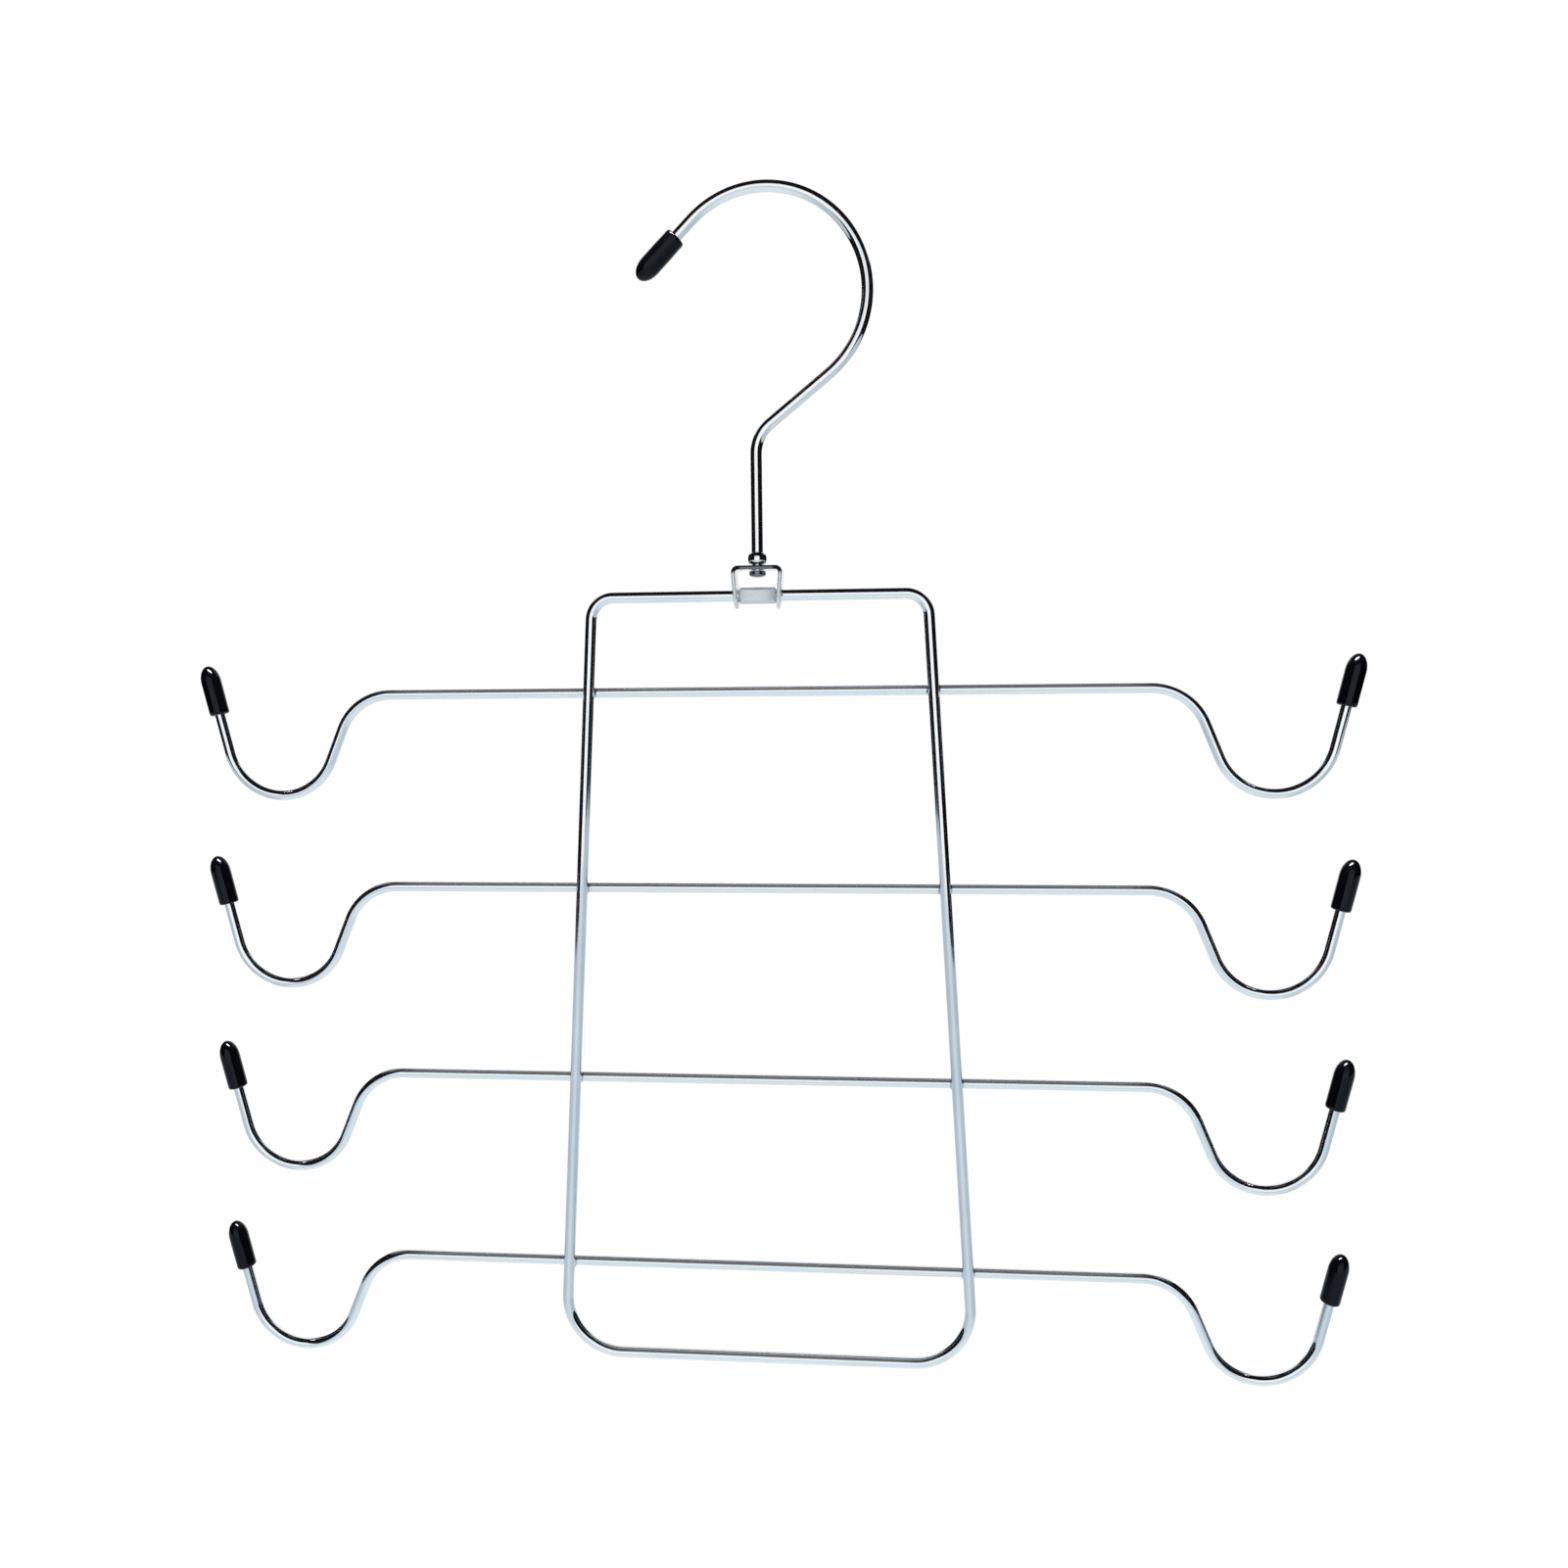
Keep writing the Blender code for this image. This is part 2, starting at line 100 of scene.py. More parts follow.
class Side(Enum):
    """Sides of the hanger, as the sign of X."""

    LEFT = -1
    RIGHT = 1


class Part(Enum):
    """Parts of a mesh, by the names of their lists."""

    VERT = "verts"
    EDGE = "edges"
    FACE = "faces"


# Shaders


class Signal:
    """A value in a node tree, on which Python's operators add Math nodes."""

    def __init__(self, graph: NodeGraph, socket: bpy.types.NodeSocket | None) -> None:
        """Wrap an output socket of one of the graph's nodes."""
        self.graph = graph
        self.socket = socket

    def math(self, operation: str, *values: Signal | float) -> Signal:
        """Add a Math node on these values, this one or a number among them."""
        return self.graph.node("ShaderNodeMath", {"operation": operation}, dict(enumerate(values)))

    def part(self, axis: str) -> Signal:
        """One coordinate of a place, by its letter."""
        return self.graph.node("ShaderNodeSeparateXYZ", None, {0: self}, axis)

    def size(self) -> Signal:
        """The value without its sign."""
        return self.math("ABSOLUTE", self)

    def __add__(self, other: Signal | float) -> Signal:
        """Sum with a number or another value."""
        return self.math("ADD", self, other)

    def __sub__(self, other: Signal | float) -> Signal:
        """Difference from a number or another value."""
        return self.math("SUBTRACT", self, other)

    def __rsub__(self, other: float) -> Signal:
        """A number less this value."""
        return self.math("SUBTRACT", other, self)

    def __mul__(self, other: Signal | float) -> Signal:
        """Product with a number or another value."""
        return self.math("MULTIPLY", self, other)

    __radd__ = __add__
    __rmul__ = __mul__

    def ease(self, start: float, end: float) -> Signal:
        """Run smoothly from 0 at one value to 1 at another."""
        inputs = {"Value": self, "From Min": start, "From Max": end}
        return self.graph.node("ShaderNodeMapRange", {"interpolation_type": "SMOOTHSTEP"}, inputs)


class NodeGraph:
    """Node tree of a material or a world."""

    def __init__(self, owner: bpy.types.Material | bpy.types.World) -> None:
        """Take over the owner's node tree and empty it.

        Args:
            owner: the material or world.
        """
        owner.use_nodes = True
        self.tree = owner.node_tree
        self.tree.nodes.clear()

    def node(self, kind: str, settings: dict | None = None, inputs: dict | None = None,
             output: int | str = 0) -> Signal:
        """Add a node, set it up, and feed its sockets.

        Args:
            kind: the node's type.
            settings: properties that are set first.
            inputs: values or signals by socket name or number.
            output: the socket that is handed back.

        Returns:
            The chosen output as a signal.
        """
        node = self.tree.nodes.new(kind)
        for name, value in (settings or {}).items():
            setattr(node, name, value)
        for name, value in (inputs or {}).items():
            if isinstance(value, Signal):
                self.tree.links.new(value.socket, node.inputs[name])
            else:
                node.inputs[name].default_value = value
        return Signal(self, node.outputs[output] if len(node.outputs) else None)

    def place(self) -> Signal:
        """Place in the piece's own mesh."""
        return self.node("ShaderNodeTexCoord", output="Object")

    def stretched(self, place: Signal, factors: Triple) -> Signal:
        """Scale a place along its three directions."""
        return self.node("ShaderNodeVectorMath", {"operation": "MULTIPLY"}, {0: place, 1: factors})

    def noise(self, place: Signal, grains: float, detail: float = 2.0) -> Signal:
        """Noise of about 0 to 1 with this many grains to each unit of the place."""
        inputs = {"Vector": place, "Scale": grains, "Detail": detail}
        return self.node("ShaderNodeTexNoise", {"normalize": True}, inputs)

    def blend(self, factor: Signal, first: Triple | Signal, second: Triple | Signal) -> Signal:
        """Mix two colours, plain or worked out, by a factor."""
        first, second = (end if isinstance(end, Signal) else (*end, 1.0) for end in (first, second))
        return self.node("ShaderNodeMix", {"data_type": "RGBA"}, {0: factor, 6: first, 7: second}, 2)

    def bump(self, height: Signal) -> Signal:
        """Normal of a relief whose height is in millimetres."""
        return self.node("ShaderNodeBump", None, {"Height": height, "Distance": MM})


@dataclass(frozen=True)
class Mottle:
    """Patches or specks in a surface.

    Attributes:
        grains: how many there are a metre.
        span: values of the noise between which they set in.
        dulling: how much rougher the surface is in them.
    """

    grains: float
    span: Pair
    dulling: float


@dataclass(frozen=True)
class Finish:
    """A dull finish of one colour, and what all the finishes share.

    Attributes:
        second: the colour that the main one drifts towards in patches.
        roughness: the least roughness.
    """

    name: str
    colour: Triple
    second: Triple
    roughness: float

    def dress(self, piece: bpy.types.Object) -> None:
        """Put the finish on a piece, and make its material the first time.

        Args:
            piece: the object that gets it.
        """
        material = bpy.data.materials.get(self.name) or self.make()
        piece.data.materials.clear()
        piece.data.materials.append(material)

    def make(self) -> bpy.types.Material:
        """Make the material.

        Returns:
            The material with its nodes.
        """
        material = bpy.data.materials.new(self.name)
        graph = NodeGraph(material)
        material.diffuse_color = (*self.colour, 1.0)
        graph.node("ShaderNodeOutputMaterial", None, {"Surface": self.shader(graph)})
        return material

    def shader(self, graph: NodeGraph) -> Signal:
        """Principled shader that is fed with this finish's own nodes."""
        return graph.node("ShaderNodeBsdfPrincipled", None, self.sockets(graph))

    def sockets(self, graph: NodeGraph) -> Inputs:
        """Inputs of the principled shader."""
        return {"Base Color": (*self.colour, 1.0), "Roughness": self.roughness,
                "Specular IOR Level": 0.0}


@dataclass(frozen=True)
class WirePlate(Finish):
    """Bright plate on drawn wire: fine draw marks along the stock, slow waves and dull specks.

    The tools closed on the first stretch of the stock, which is satin; on the hook that stretch is its
    head, painted dark as shade under the clip's top. Its end is rubbed dull.

    Attributes:
        marks: how many draw marks there are a metre, along the stock and across it.
        mark_depth: how high they stand.
        mark_dulling: how much rougher they make it.
        waves: how many waves there are a metre, along the stock and across it.
        worked: how much of the stock the tools closed on.
        satin: how much rougher it is there. Its colour there is a satin tone, and painted shade on the
            hook's head.
        haze: how much of its metal shine is lost there.
        fade: how long the change to the bright plate is.
        rubbed: the stretch in which it comes to be rubbed, past the stock's end for none.
        rub: how much of its metal shine is lost from there on.
    """

    marks: Triple = (45.0, 2400.0, 2400.0)
    mark_depth: float = 0.0006
    mark_dulling: float = 0.035
    waves: Triple = (70.0, 160.0, 160.0)
    wave_depth: float = 0.030
    patches: Mottle = Mottle(55.0, (0.35, 0.7), 0.03)
    specks: Mottle = Mottle(1500.0, (0.66, 0.76), 0.18)
    worked: float = 5.8
    satin: float = 0.28
    # colour of the worked stretch: a satin tone, and on the hook's head painted shade
    satin_and_shade_colour: Triple = (0.74, 0.77, 0.81)
    haze: float = 0.35
    fade: float = 0.4
    rubbed: Pair = (STOCK_LENGTH, STOCK_LENGTH + 20.0)
    rub: float = 0.15

    def sockets(self, graph: NodeGraph) -> Inputs:
        """Feed the principled shader, in the directions of the straight stock.

        Args:
            graph: the material's nodes.

        Returns:
            The shader's inputs.
        """
        place = graph.place()
        stock = graph.node("ShaderNodeAttribute", {"attribute_name": STOCK}, output="Vector")
        along = stock.math("MODULO", stock.part("X"), STOCK_LENGTH * MM)
        # the worked stretch, which on the hook's head carries painted shade
        worked_and_shaded = 1.0 - along.ease(self.worked * MM, (self.worked + self.fade) * MM)
        dulled = along.ease(*(end * MM for end in self.rubbed))
        marks = graph.noise(graph.stretched(stock, self.marks), 1.0, 3.0)
        waves = graph.noise(graph.stretched(stock, self.waves), 1.0, 1.0)
        patches = graph.noise(place, self.patches.grains)
        specks = graph.noise(place, self.specks.grains, 1.0).ease(*self.specks.span)
        rough = (self.roughness + marks * self.mark_dulling + patches * self.patches.dulling
                 + specks * self.specks.dulling)
        relief = waves * self.wave_depth + marks * self.mark_depth - specks * self.mark_depth
        colour = graph.blend(patches.ease(*self.patches.span), self.colour, self.second)
        return {"Base Color": graph.blend(worked_and_shaded, colour, self.satin_and_shade_colour),
                "Metallic": 1.0 - worked_and_shaded * self.haze - dulled * self.rub,
                "Roughness": rough + worked_and_shaded * self.satin, "Normal": graph.bump(relief)}


@dataclass(frozen=True)
class PressedPlate(Finish):
    """Bright plate on pressed strap or on a weld: an uneven skin with dull specks.

    Attributes:
        grains: how many bumps its skin has a metre.
        pit_depth: how deep the specks are.
    """

    grains: float = 420.0
    grain_depth: float = 0.004
    pit_depth: float = 0.001
    patches: Mottle = Mottle(120.0, (0.3, 0.7), 0.06)
    specks: Mottle = Mottle(1900.0, (0.64, 0.75), 0.2)

    def sockets(self, graph: NodeGraph) -> Inputs:
        """Feed the principled shader, in the piece's own place.

        Args:
            graph: the material's nodes.

        Returns:
            The shader's inputs.
        """
        place = graph.place()
        skin = graph.noise(place, self.grains, 3.0)
        patches = graph.noise(place, self.patches.grains)
        specks = graph.noise(place, self.specks.grains, 1.0).ease(*self.specks.span)
        rough = self.roughness + patches * self.patches.dulling + specks * self.specks.dulling
        relief = skin * self.grain_depth - specks * self.pit_depth
        colour = graph.blend(patches.ease(*self.patches.span), self.colour, self.second)
        return {"Base Color": colour, "Metallic": 1.0, "Roughness": rough,
                "Normal": graph.bump(relief)}


@dataclass(frozen=True)
class StrapPlate(PressedPlate):
    """Plate on the clip's strap, whose sheared edges near its top carry a painted dark reflection,
    deepest towards the bends.

    Attributes:
        edges: distances from the middle plane between which the sheared edges begin.
        rise: heights above the loop's top run between which the painted dark reflection sets in.
        bends: distances from the middle between which it deepens.
        between: how dark the painted reflection is between the bends, as a share.
        haze: how much of their metal shine the legs lack.
    """

    # colour of the painted dark reflection on the sheared edges
    painted_reflection_colour: Triple = (0.012, 0.013, 0.018)
    edges: Pair = (3.2, 3.5)
    rise: Pair = (6.2, 7.3)
    bends: Pair = (4.4, 5.6)
    between: float = 0.78
    haze: float = 0.45

    def sockets(self, graph: NodeGraph) -> Inputs:
        """Feed the principled shader, with a painted dark reflection on the sheared edges.

        Args:
            graph: the material's nodes.

        Returns:
            The shader's inputs.
        """
        inputs = super().sockets(graph)
        place = graph.place()
        sheared = place.part("Y").size().ease(*(depth * MM for depth in self.edges))
        raised = place.part("Z").ease(*((FOLD_AXIS_Z + level) * MM for level in self.rise))
        bent = place.part("X").size().ease(*(reach * MM for reach in self.bends))
        # painted dark reflection along the top's sheared edges, deepest at the bends
        painted_reflection = sheared * raised * (self.between + bent * (1.0 - self.between))
        inputs["Metallic"] = 1.0 - (1.0 - raised) * self.haze
        inputs["Base Color"] = graph.blend(painted_reflection, inputs["Base Color"], self.painted_reflection_colour)
        return inputs


@dataclass(frozen=True)
class DippedVinyl(Finish):
    """Glossy dipped vinyl: a faint orange peel, soft smears and specks of dust.

    Attributes:
        peel: how many bumps its skin has a metre.
        smears: how many smears there are a metre, across the tip and along it.
        smear_grey: how much paler they make it, as dust_grey is for the dust.
        grey_span: sums of the two between which it turns to the second colour.
    """

    peel: float = 900.0
    peel_depth: float = 0.0022
    smears: Triple = (150.0, 150.0, 60.0)
    smear_span: Pair = (0.4, 0.75)
    smear_dulling: float = 0.12
    smear_grey: float = 0.7
    dust: Mottle = Mottle(2600.0, (0.70, 0.78), 0.2)
    dust_grey: float = 0.5
    grey_span: Pair = (0.3, 0.9)
    gloss: float = 0.25
    gloss_tint: Triple = (0.78, 0.83, 1.0)

    def sockets(self, graph: NodeGraph) -> Inputs:
        """Feed the principled shader, in the piece's own place.

        Args:
            graph: the material's nodes.

        Returns:
            The shader's inputs.
        """
        place = graph.place()
        peel = graph.noise(place, self.peel, 1.5)
        smears = graph.noise(graph.stretched(place, self.smears), 1.0, 3.0)
        dust = graph.noise(place, self.dust.grains, 1.0).ease(*self.dust.span)
        rough = (self.roughness + smears.ease(*self.smear_span) * self.smear_dulling
                 + dust * self.dust.dulling)
        grey = (smears * self.smear_grey + dust * self.dust_grey).ease(*self.grey_span)
        return {"Base Color": graph.blend(grey, self.colour, self.second), "Roughness": rough,
                "Specular IOR Level": self.gloss, "Specular Tint": (*self.gloss_tint, 1.0),
                "Normal": graph.bump(peel * self.peel_depth)}


@dataclass(frozen=True)
class PaleFloor(Finish):
    """Floor that takes the shadow near the hanger and melts into the white further out.

    Attributes:
        aside: its far colour to the left and right.
        aside_span: shares of sideways in a direction between which it takes that colour.
        drift: radii in metres between which it takes its far colours.
        melt: radii in metres between which it melts.
    """

    aside: Triple = (0.46, 0.55, 0.61)
    aside_span: Pair = (0.25, 0.9)
    drift: Pair = (0.48, 1.36)
    melt: Pair = (0.22, 0.42)

    def shader(self, graph: NodeGraph) -> Signal:
        """Mix the matt floor with the glow that it melts into.

        Args:
            graph: the material's nodes.

        Returns:
            The mixed shader.
        """
        level = graph.stretched(graph.place(), (1.0, 1.0, 0.0))
        radius = graph.node("ShaderNodeVectorMath", {"operation": "LENGTH"}, {0: level}, "Value")
        sideways = level.math("DIVIDE", level.part("X").size(), radius)
        far_colour = graph.blend(sideways.ease(*self.aside_span), self.second, self.aside)
        colour = graph.blend(radius.ease(*self.drift), self.colour, far_colour)
        pale = graph.node("ShaderNodeBsdfPrincipled", None,
                          {"Base Color": colour, "Roughness": self.roughness})
        camera, plate, glass = (graph.node("ShaderNodeLightPath", output=f"Is {ray} Ray")
                                for ray in ("Camera", "Glossy", "Transmission"))
        glow = graph.blend(camera + glass, colour, (1.0, 1.0, 1.0))
        melted = graph.node("ShaderNodeEmission", None, {"Color": glow, "Strength": 1.0})
        far = radius.ease(*self.melt) * (camera + plate + glass)
        return graph.node("ShaderNodeMixShader", None, {0: far, 1: pale, 2: melted})


# the dark colour of the hook's worked stretch is painted shade on its head under the clip's top
HOOK_CHROME = WirePlate("bright_chrome_on_hook", (0.975, 0.97, 0.965), (0.91, 0.91, 0.915), 0.04,
                        worked=1.9, satin=0.08, satin_and_shade_colour=(0.20, 0.215, 0.24), haze=0.0,
                        fade=0.2)
LOOP_CHROME = WirePlate("bright_chrome_on_loop", (0.94, 0.965, 0.985), (0.87, 0.905, 0.935), 0.04,
                        rubbed=(288.0, 308.0))
BAR_CHROME = WirePlate("bright_chrome_on_bars", (0.93, 0.96, 0.98), (0.87, 0.905, 0.935), 0.06,
                       worked=108.0, satin=0.04, satin_and_shade_colour=(0.89, 0.93, 0.955), haze=0.15,
                       fade=16.0)
WELD_CHROME = PressedPlate("chrome_on_weld", (0.80, 0.83, 0.86), (0.66, 0.68, 0.70), 0.14)
NICKEL = StrapPlate("bright_nickel_on_strap", (0.84, 0.865, 0.89), (0.76, 0.79, 0.82), 0.10,
                    grains=260.0, grain_depth=0.006)
VINYL = DippedVinyl("black_dipped_vinyl", (0.0006, 0.0006, 0.0009), (0.0015, 0.0017, 0.0024), 0.09)
BLACK_CLOTH = Finish("black_cloth", (0.004, 0.004, 0.005), (0.004, 0.004, 0.005), 1.0)
PALE_FLOOR = PaleFloor("pale_floor", (0.76, 0.83, 0.875), (0.62, 0.71, 0.78), 0.9)


# Modelling


def activate(piece: bpy.types.Object | None) -> None:
    """Make a piece the only one that operators act on, or select nothing.

    Args:
        piece: the object, if any.
    """
    for other in list(bpy.context.selected_objects):
        other.select_set(False)
    if piece:
        piece.select_set(True)
        bpy.context.view_layer.objects.active = piece


def settle(piece: bpy.types.Object) -> None:
    """Write a piece's place into its mesh, so that its object sits at the origin."""
    activate(piece)
    bpy.ops.object.transform_apply(location=True, rotation=True, scale=True)


def start_from(primitive: Callable[..., set[str]], name: str,
               **settings: object) -> bpy.types.Object:
    """Add a primitive as the start of a piece.

    Args:
        primitive: the operator that adds it.
        name: the piece's name.
        settings: the operator's own settings, in metres and radians.

    Returns:
        The piece, with its object at the origin.
    """
    activate(None)
    primitive(**settings)
    piece = bpy.context.object
    piece.name = piece.data.name = name
    settle(piece)
    return piece


@contextmanager
def editing(piece: bpy.types.Object, part: Part = Part.VERT) -> Iterator[None]:
    """Edit a piece's mesh, all of it selected at first.

    Args:
        piece: the object.
        part: what is selected.

    Returns:
        The context in which it is edited.
    """
    activate(piece)
    bpy.ops.object.mode_set(mode="EDIT")
    bpy.ops.mesh.select_mode(type=part.name)
    bpy.ops.mesh.select_all(action="SELECT")
    yield
    bpy.ops.mesh.select_mode(type="VERT")
    bpy.ops.object.mode_set(mode="OBJECT")


def select(piece: bpy.types.Object, part: Part, test: Callable[..., bool]) -> int:
    """Select what passes a test in the mesh in edit mode.

    Args:
        piece: the object in edit mode.
        part: what is selected.
        test: says of one point, edge or face if it is taken.

    Returns:
        How many are selected.
    """
    shape = bmesh.from_edit_mesh(piece.data)
    for item in (*shape.faces, *shape.edges, *shape.verts):
        item.select = False
    chosen = [item for item in getattr(shape, part.value) if test(item)]
    for item in chosen:
        item.select_set(True)
    shape.select_flush_mode()
    bmesh.update_edit_mesh(piece.data)
    return len(chosen)


def select_points(piece: bpy.types.Object, test: Callable[[Vector], bool]) -> int:
    """Select the points whose place in millimetres passes a test, and count them."""
    return select(piece, Part.VERT, lambda vert: test(vert.co / MM))


def flatten(axis: int, level: float) -> None:
    """Bring all that is selected to one level along an axis.

    Args:
        axis: the axis's number.
        level: the level, in millimetres.
    """
    centre = [level * MM if direction == axis else 0.0 for direction in range(3)]
    scale = [0.0 if direction == axis else 1.0 for direction in range(3)]
    bpy.ops.transform.resize(value=scale, center_override=centre)


def extrude(step: Sequence[float]) -> None:
    """Extrude all that is selected by a step in millimetres."""
    travel = [length * MM for length in step]
    bpy.ops.mesh.extrude_region_move(TRANSFORM_OT_translate={"value": travel})


def apply_modifier(piece: bpy.types.Object, kind: str, **settings: object) -> None:
    """Add a modifier and apply it.

    Args:
        piece: the object that it shapes.
        kind: the modifier's type.
        settings: the modifier's own settings.
    """
    activate(piece)
    modifier = piece.modifiers.new(kind.lower(), kind)
    for name, value in settings.items():
        setattr(modifier, name, value)
    bpy.ops.object.modifier_apply(modifier=modifier.name)


def cut(piece: bpy.types.Object, tool: bpy.types.Object, operation: str = "DIFFERENCE") -> None:
    """Cut a piece with a tool solid, or keep what the two share, and put the tool away."""
    apply_modifier(piece, "BOOLEAN", operation=operation, solver="EXACT", object=tool)
    bpy.data.objects.remove(tool, do_unlink=True)


def clean(piece: bpy.types.Object, merge: float = 0.0005) -> None:
    """Merge points within a distance in millimetres, and turn every face outwards."""
    with editing(piece):
        bpy.ops.mesh.remove_doubles(threshold=merge * MM)
        bpy.ops.mesh.normals_make_consistent(inside=False)


def shade(piece: bpy.types.Object, angle: float = 34.0) -> None:
    """Shade a piece smooth, apart from edges sharper than an angle."""
    activate(piece)
    bpy.ops.object.shade_smooth_by_angle(angle=math.radians(angle))


def duplicate(piece: bpy.types.Object, name: str, move: Matrix) -> bpy.types.Object:
    """Copy a piece with its own mesh, and put the copy in its place.

    Args:
        piece: what is copied.
        name: the copy's name.
        move: the copy's place relative to the original, in metres.

    Returns:
        The copy, with its object at the origin.
    """
    activate(piece)
    bpy.ops.object.duplicate(linked=False)
    copy = bpy.context.object
    copy.name = copy.data.name = name
    copy.matrix_world = move
    settle(copy)
    return copy


def adopt(piece: bpy.types.Object, finish: Finish, body: Body, slot: Slot, *nodes: str) -> None:
    """Dress a piece and tie it to its body and the nodes that it stands for.

    Args:
        piece: the finished piece.
        finish: what it is dressed in.
        body: the body that it rides on.
        slot: its material slot; not used.
        nodes: the nodes that it replaces.
    """
    finish.dress(piece)
    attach(piece, body.value)
    if nodes:
        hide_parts(*nodes)
    LOG.info("%s: %d points, on %s", piece.name, len(piece.data.vertices), body.value)


def compass(heading: float) -> Vector:
    """Unit vector in the XZ plane, at an angle in radians from +X towards +Z."""
    return Vector((math.cos(heading), 0.0, math.sin(heading)))


def arc(count: int, start: float, end: float) -> list[float]:
    """Angles in radians of count steps from start to end in degrees, without the start."""
    return [math.radians(start + (end - start) * (step + 1) / count) for step in range(count)]


def widening(count: int, radius: float, width: float, height: float,
             first: float = 0.0) -> list[Pair]:
    """Outline of a quarter round that widens to a radius over a width and a height."""
    return [(height * (1.0 - math.cos(angle)), radius - width * (1.0 - math.sin(angle)))
            for angle in arc(count, first, 90.0)]


def narrowing(count: int, radius: float, width: float, height: float, end: float,
              last: float = 90.0) -> list[Pair]:
    """Outline of a quarter round that narrows from a radius and ends after so much travel."""
    return [(end - height * (1.0 - math.sin(angle)), radius - width * (1.0 - math.cos(angle)))
            for angle in arc(count, 0.0, last)]


@dataclass
class Stretch:
    """One straight or bent stretch of a wire's centre line.

    Attributes:
        along: the stock used before it.
        start: where it starts, in millimetres.
        heading: its direction at the start, in radians from +X towards +Z.
        length: its length.
        turn: how far it turns to the left, in radians.
    """

    along: float
    start: Vector
    heading: float
    length: float
    turn: float = 0.0

    def point(self, share: float) -> tuple[Vector, float]:
        """Find a point of the centre line.

        Args:
            share: how far along the stretch it is, from 0 to 1.

        Returns:
            Its place, and the heading there.
        """
        heading = self.heading + self.turn * share
        if not self.turn:
            return self.start + compass(self.heading) * self.length * share, heading
        radius = self.length / self.turn
        centre = self.start + compass(self.heading + QUARTER) * radius
        return centre + compass(heading - QUARTER) * radius, heading


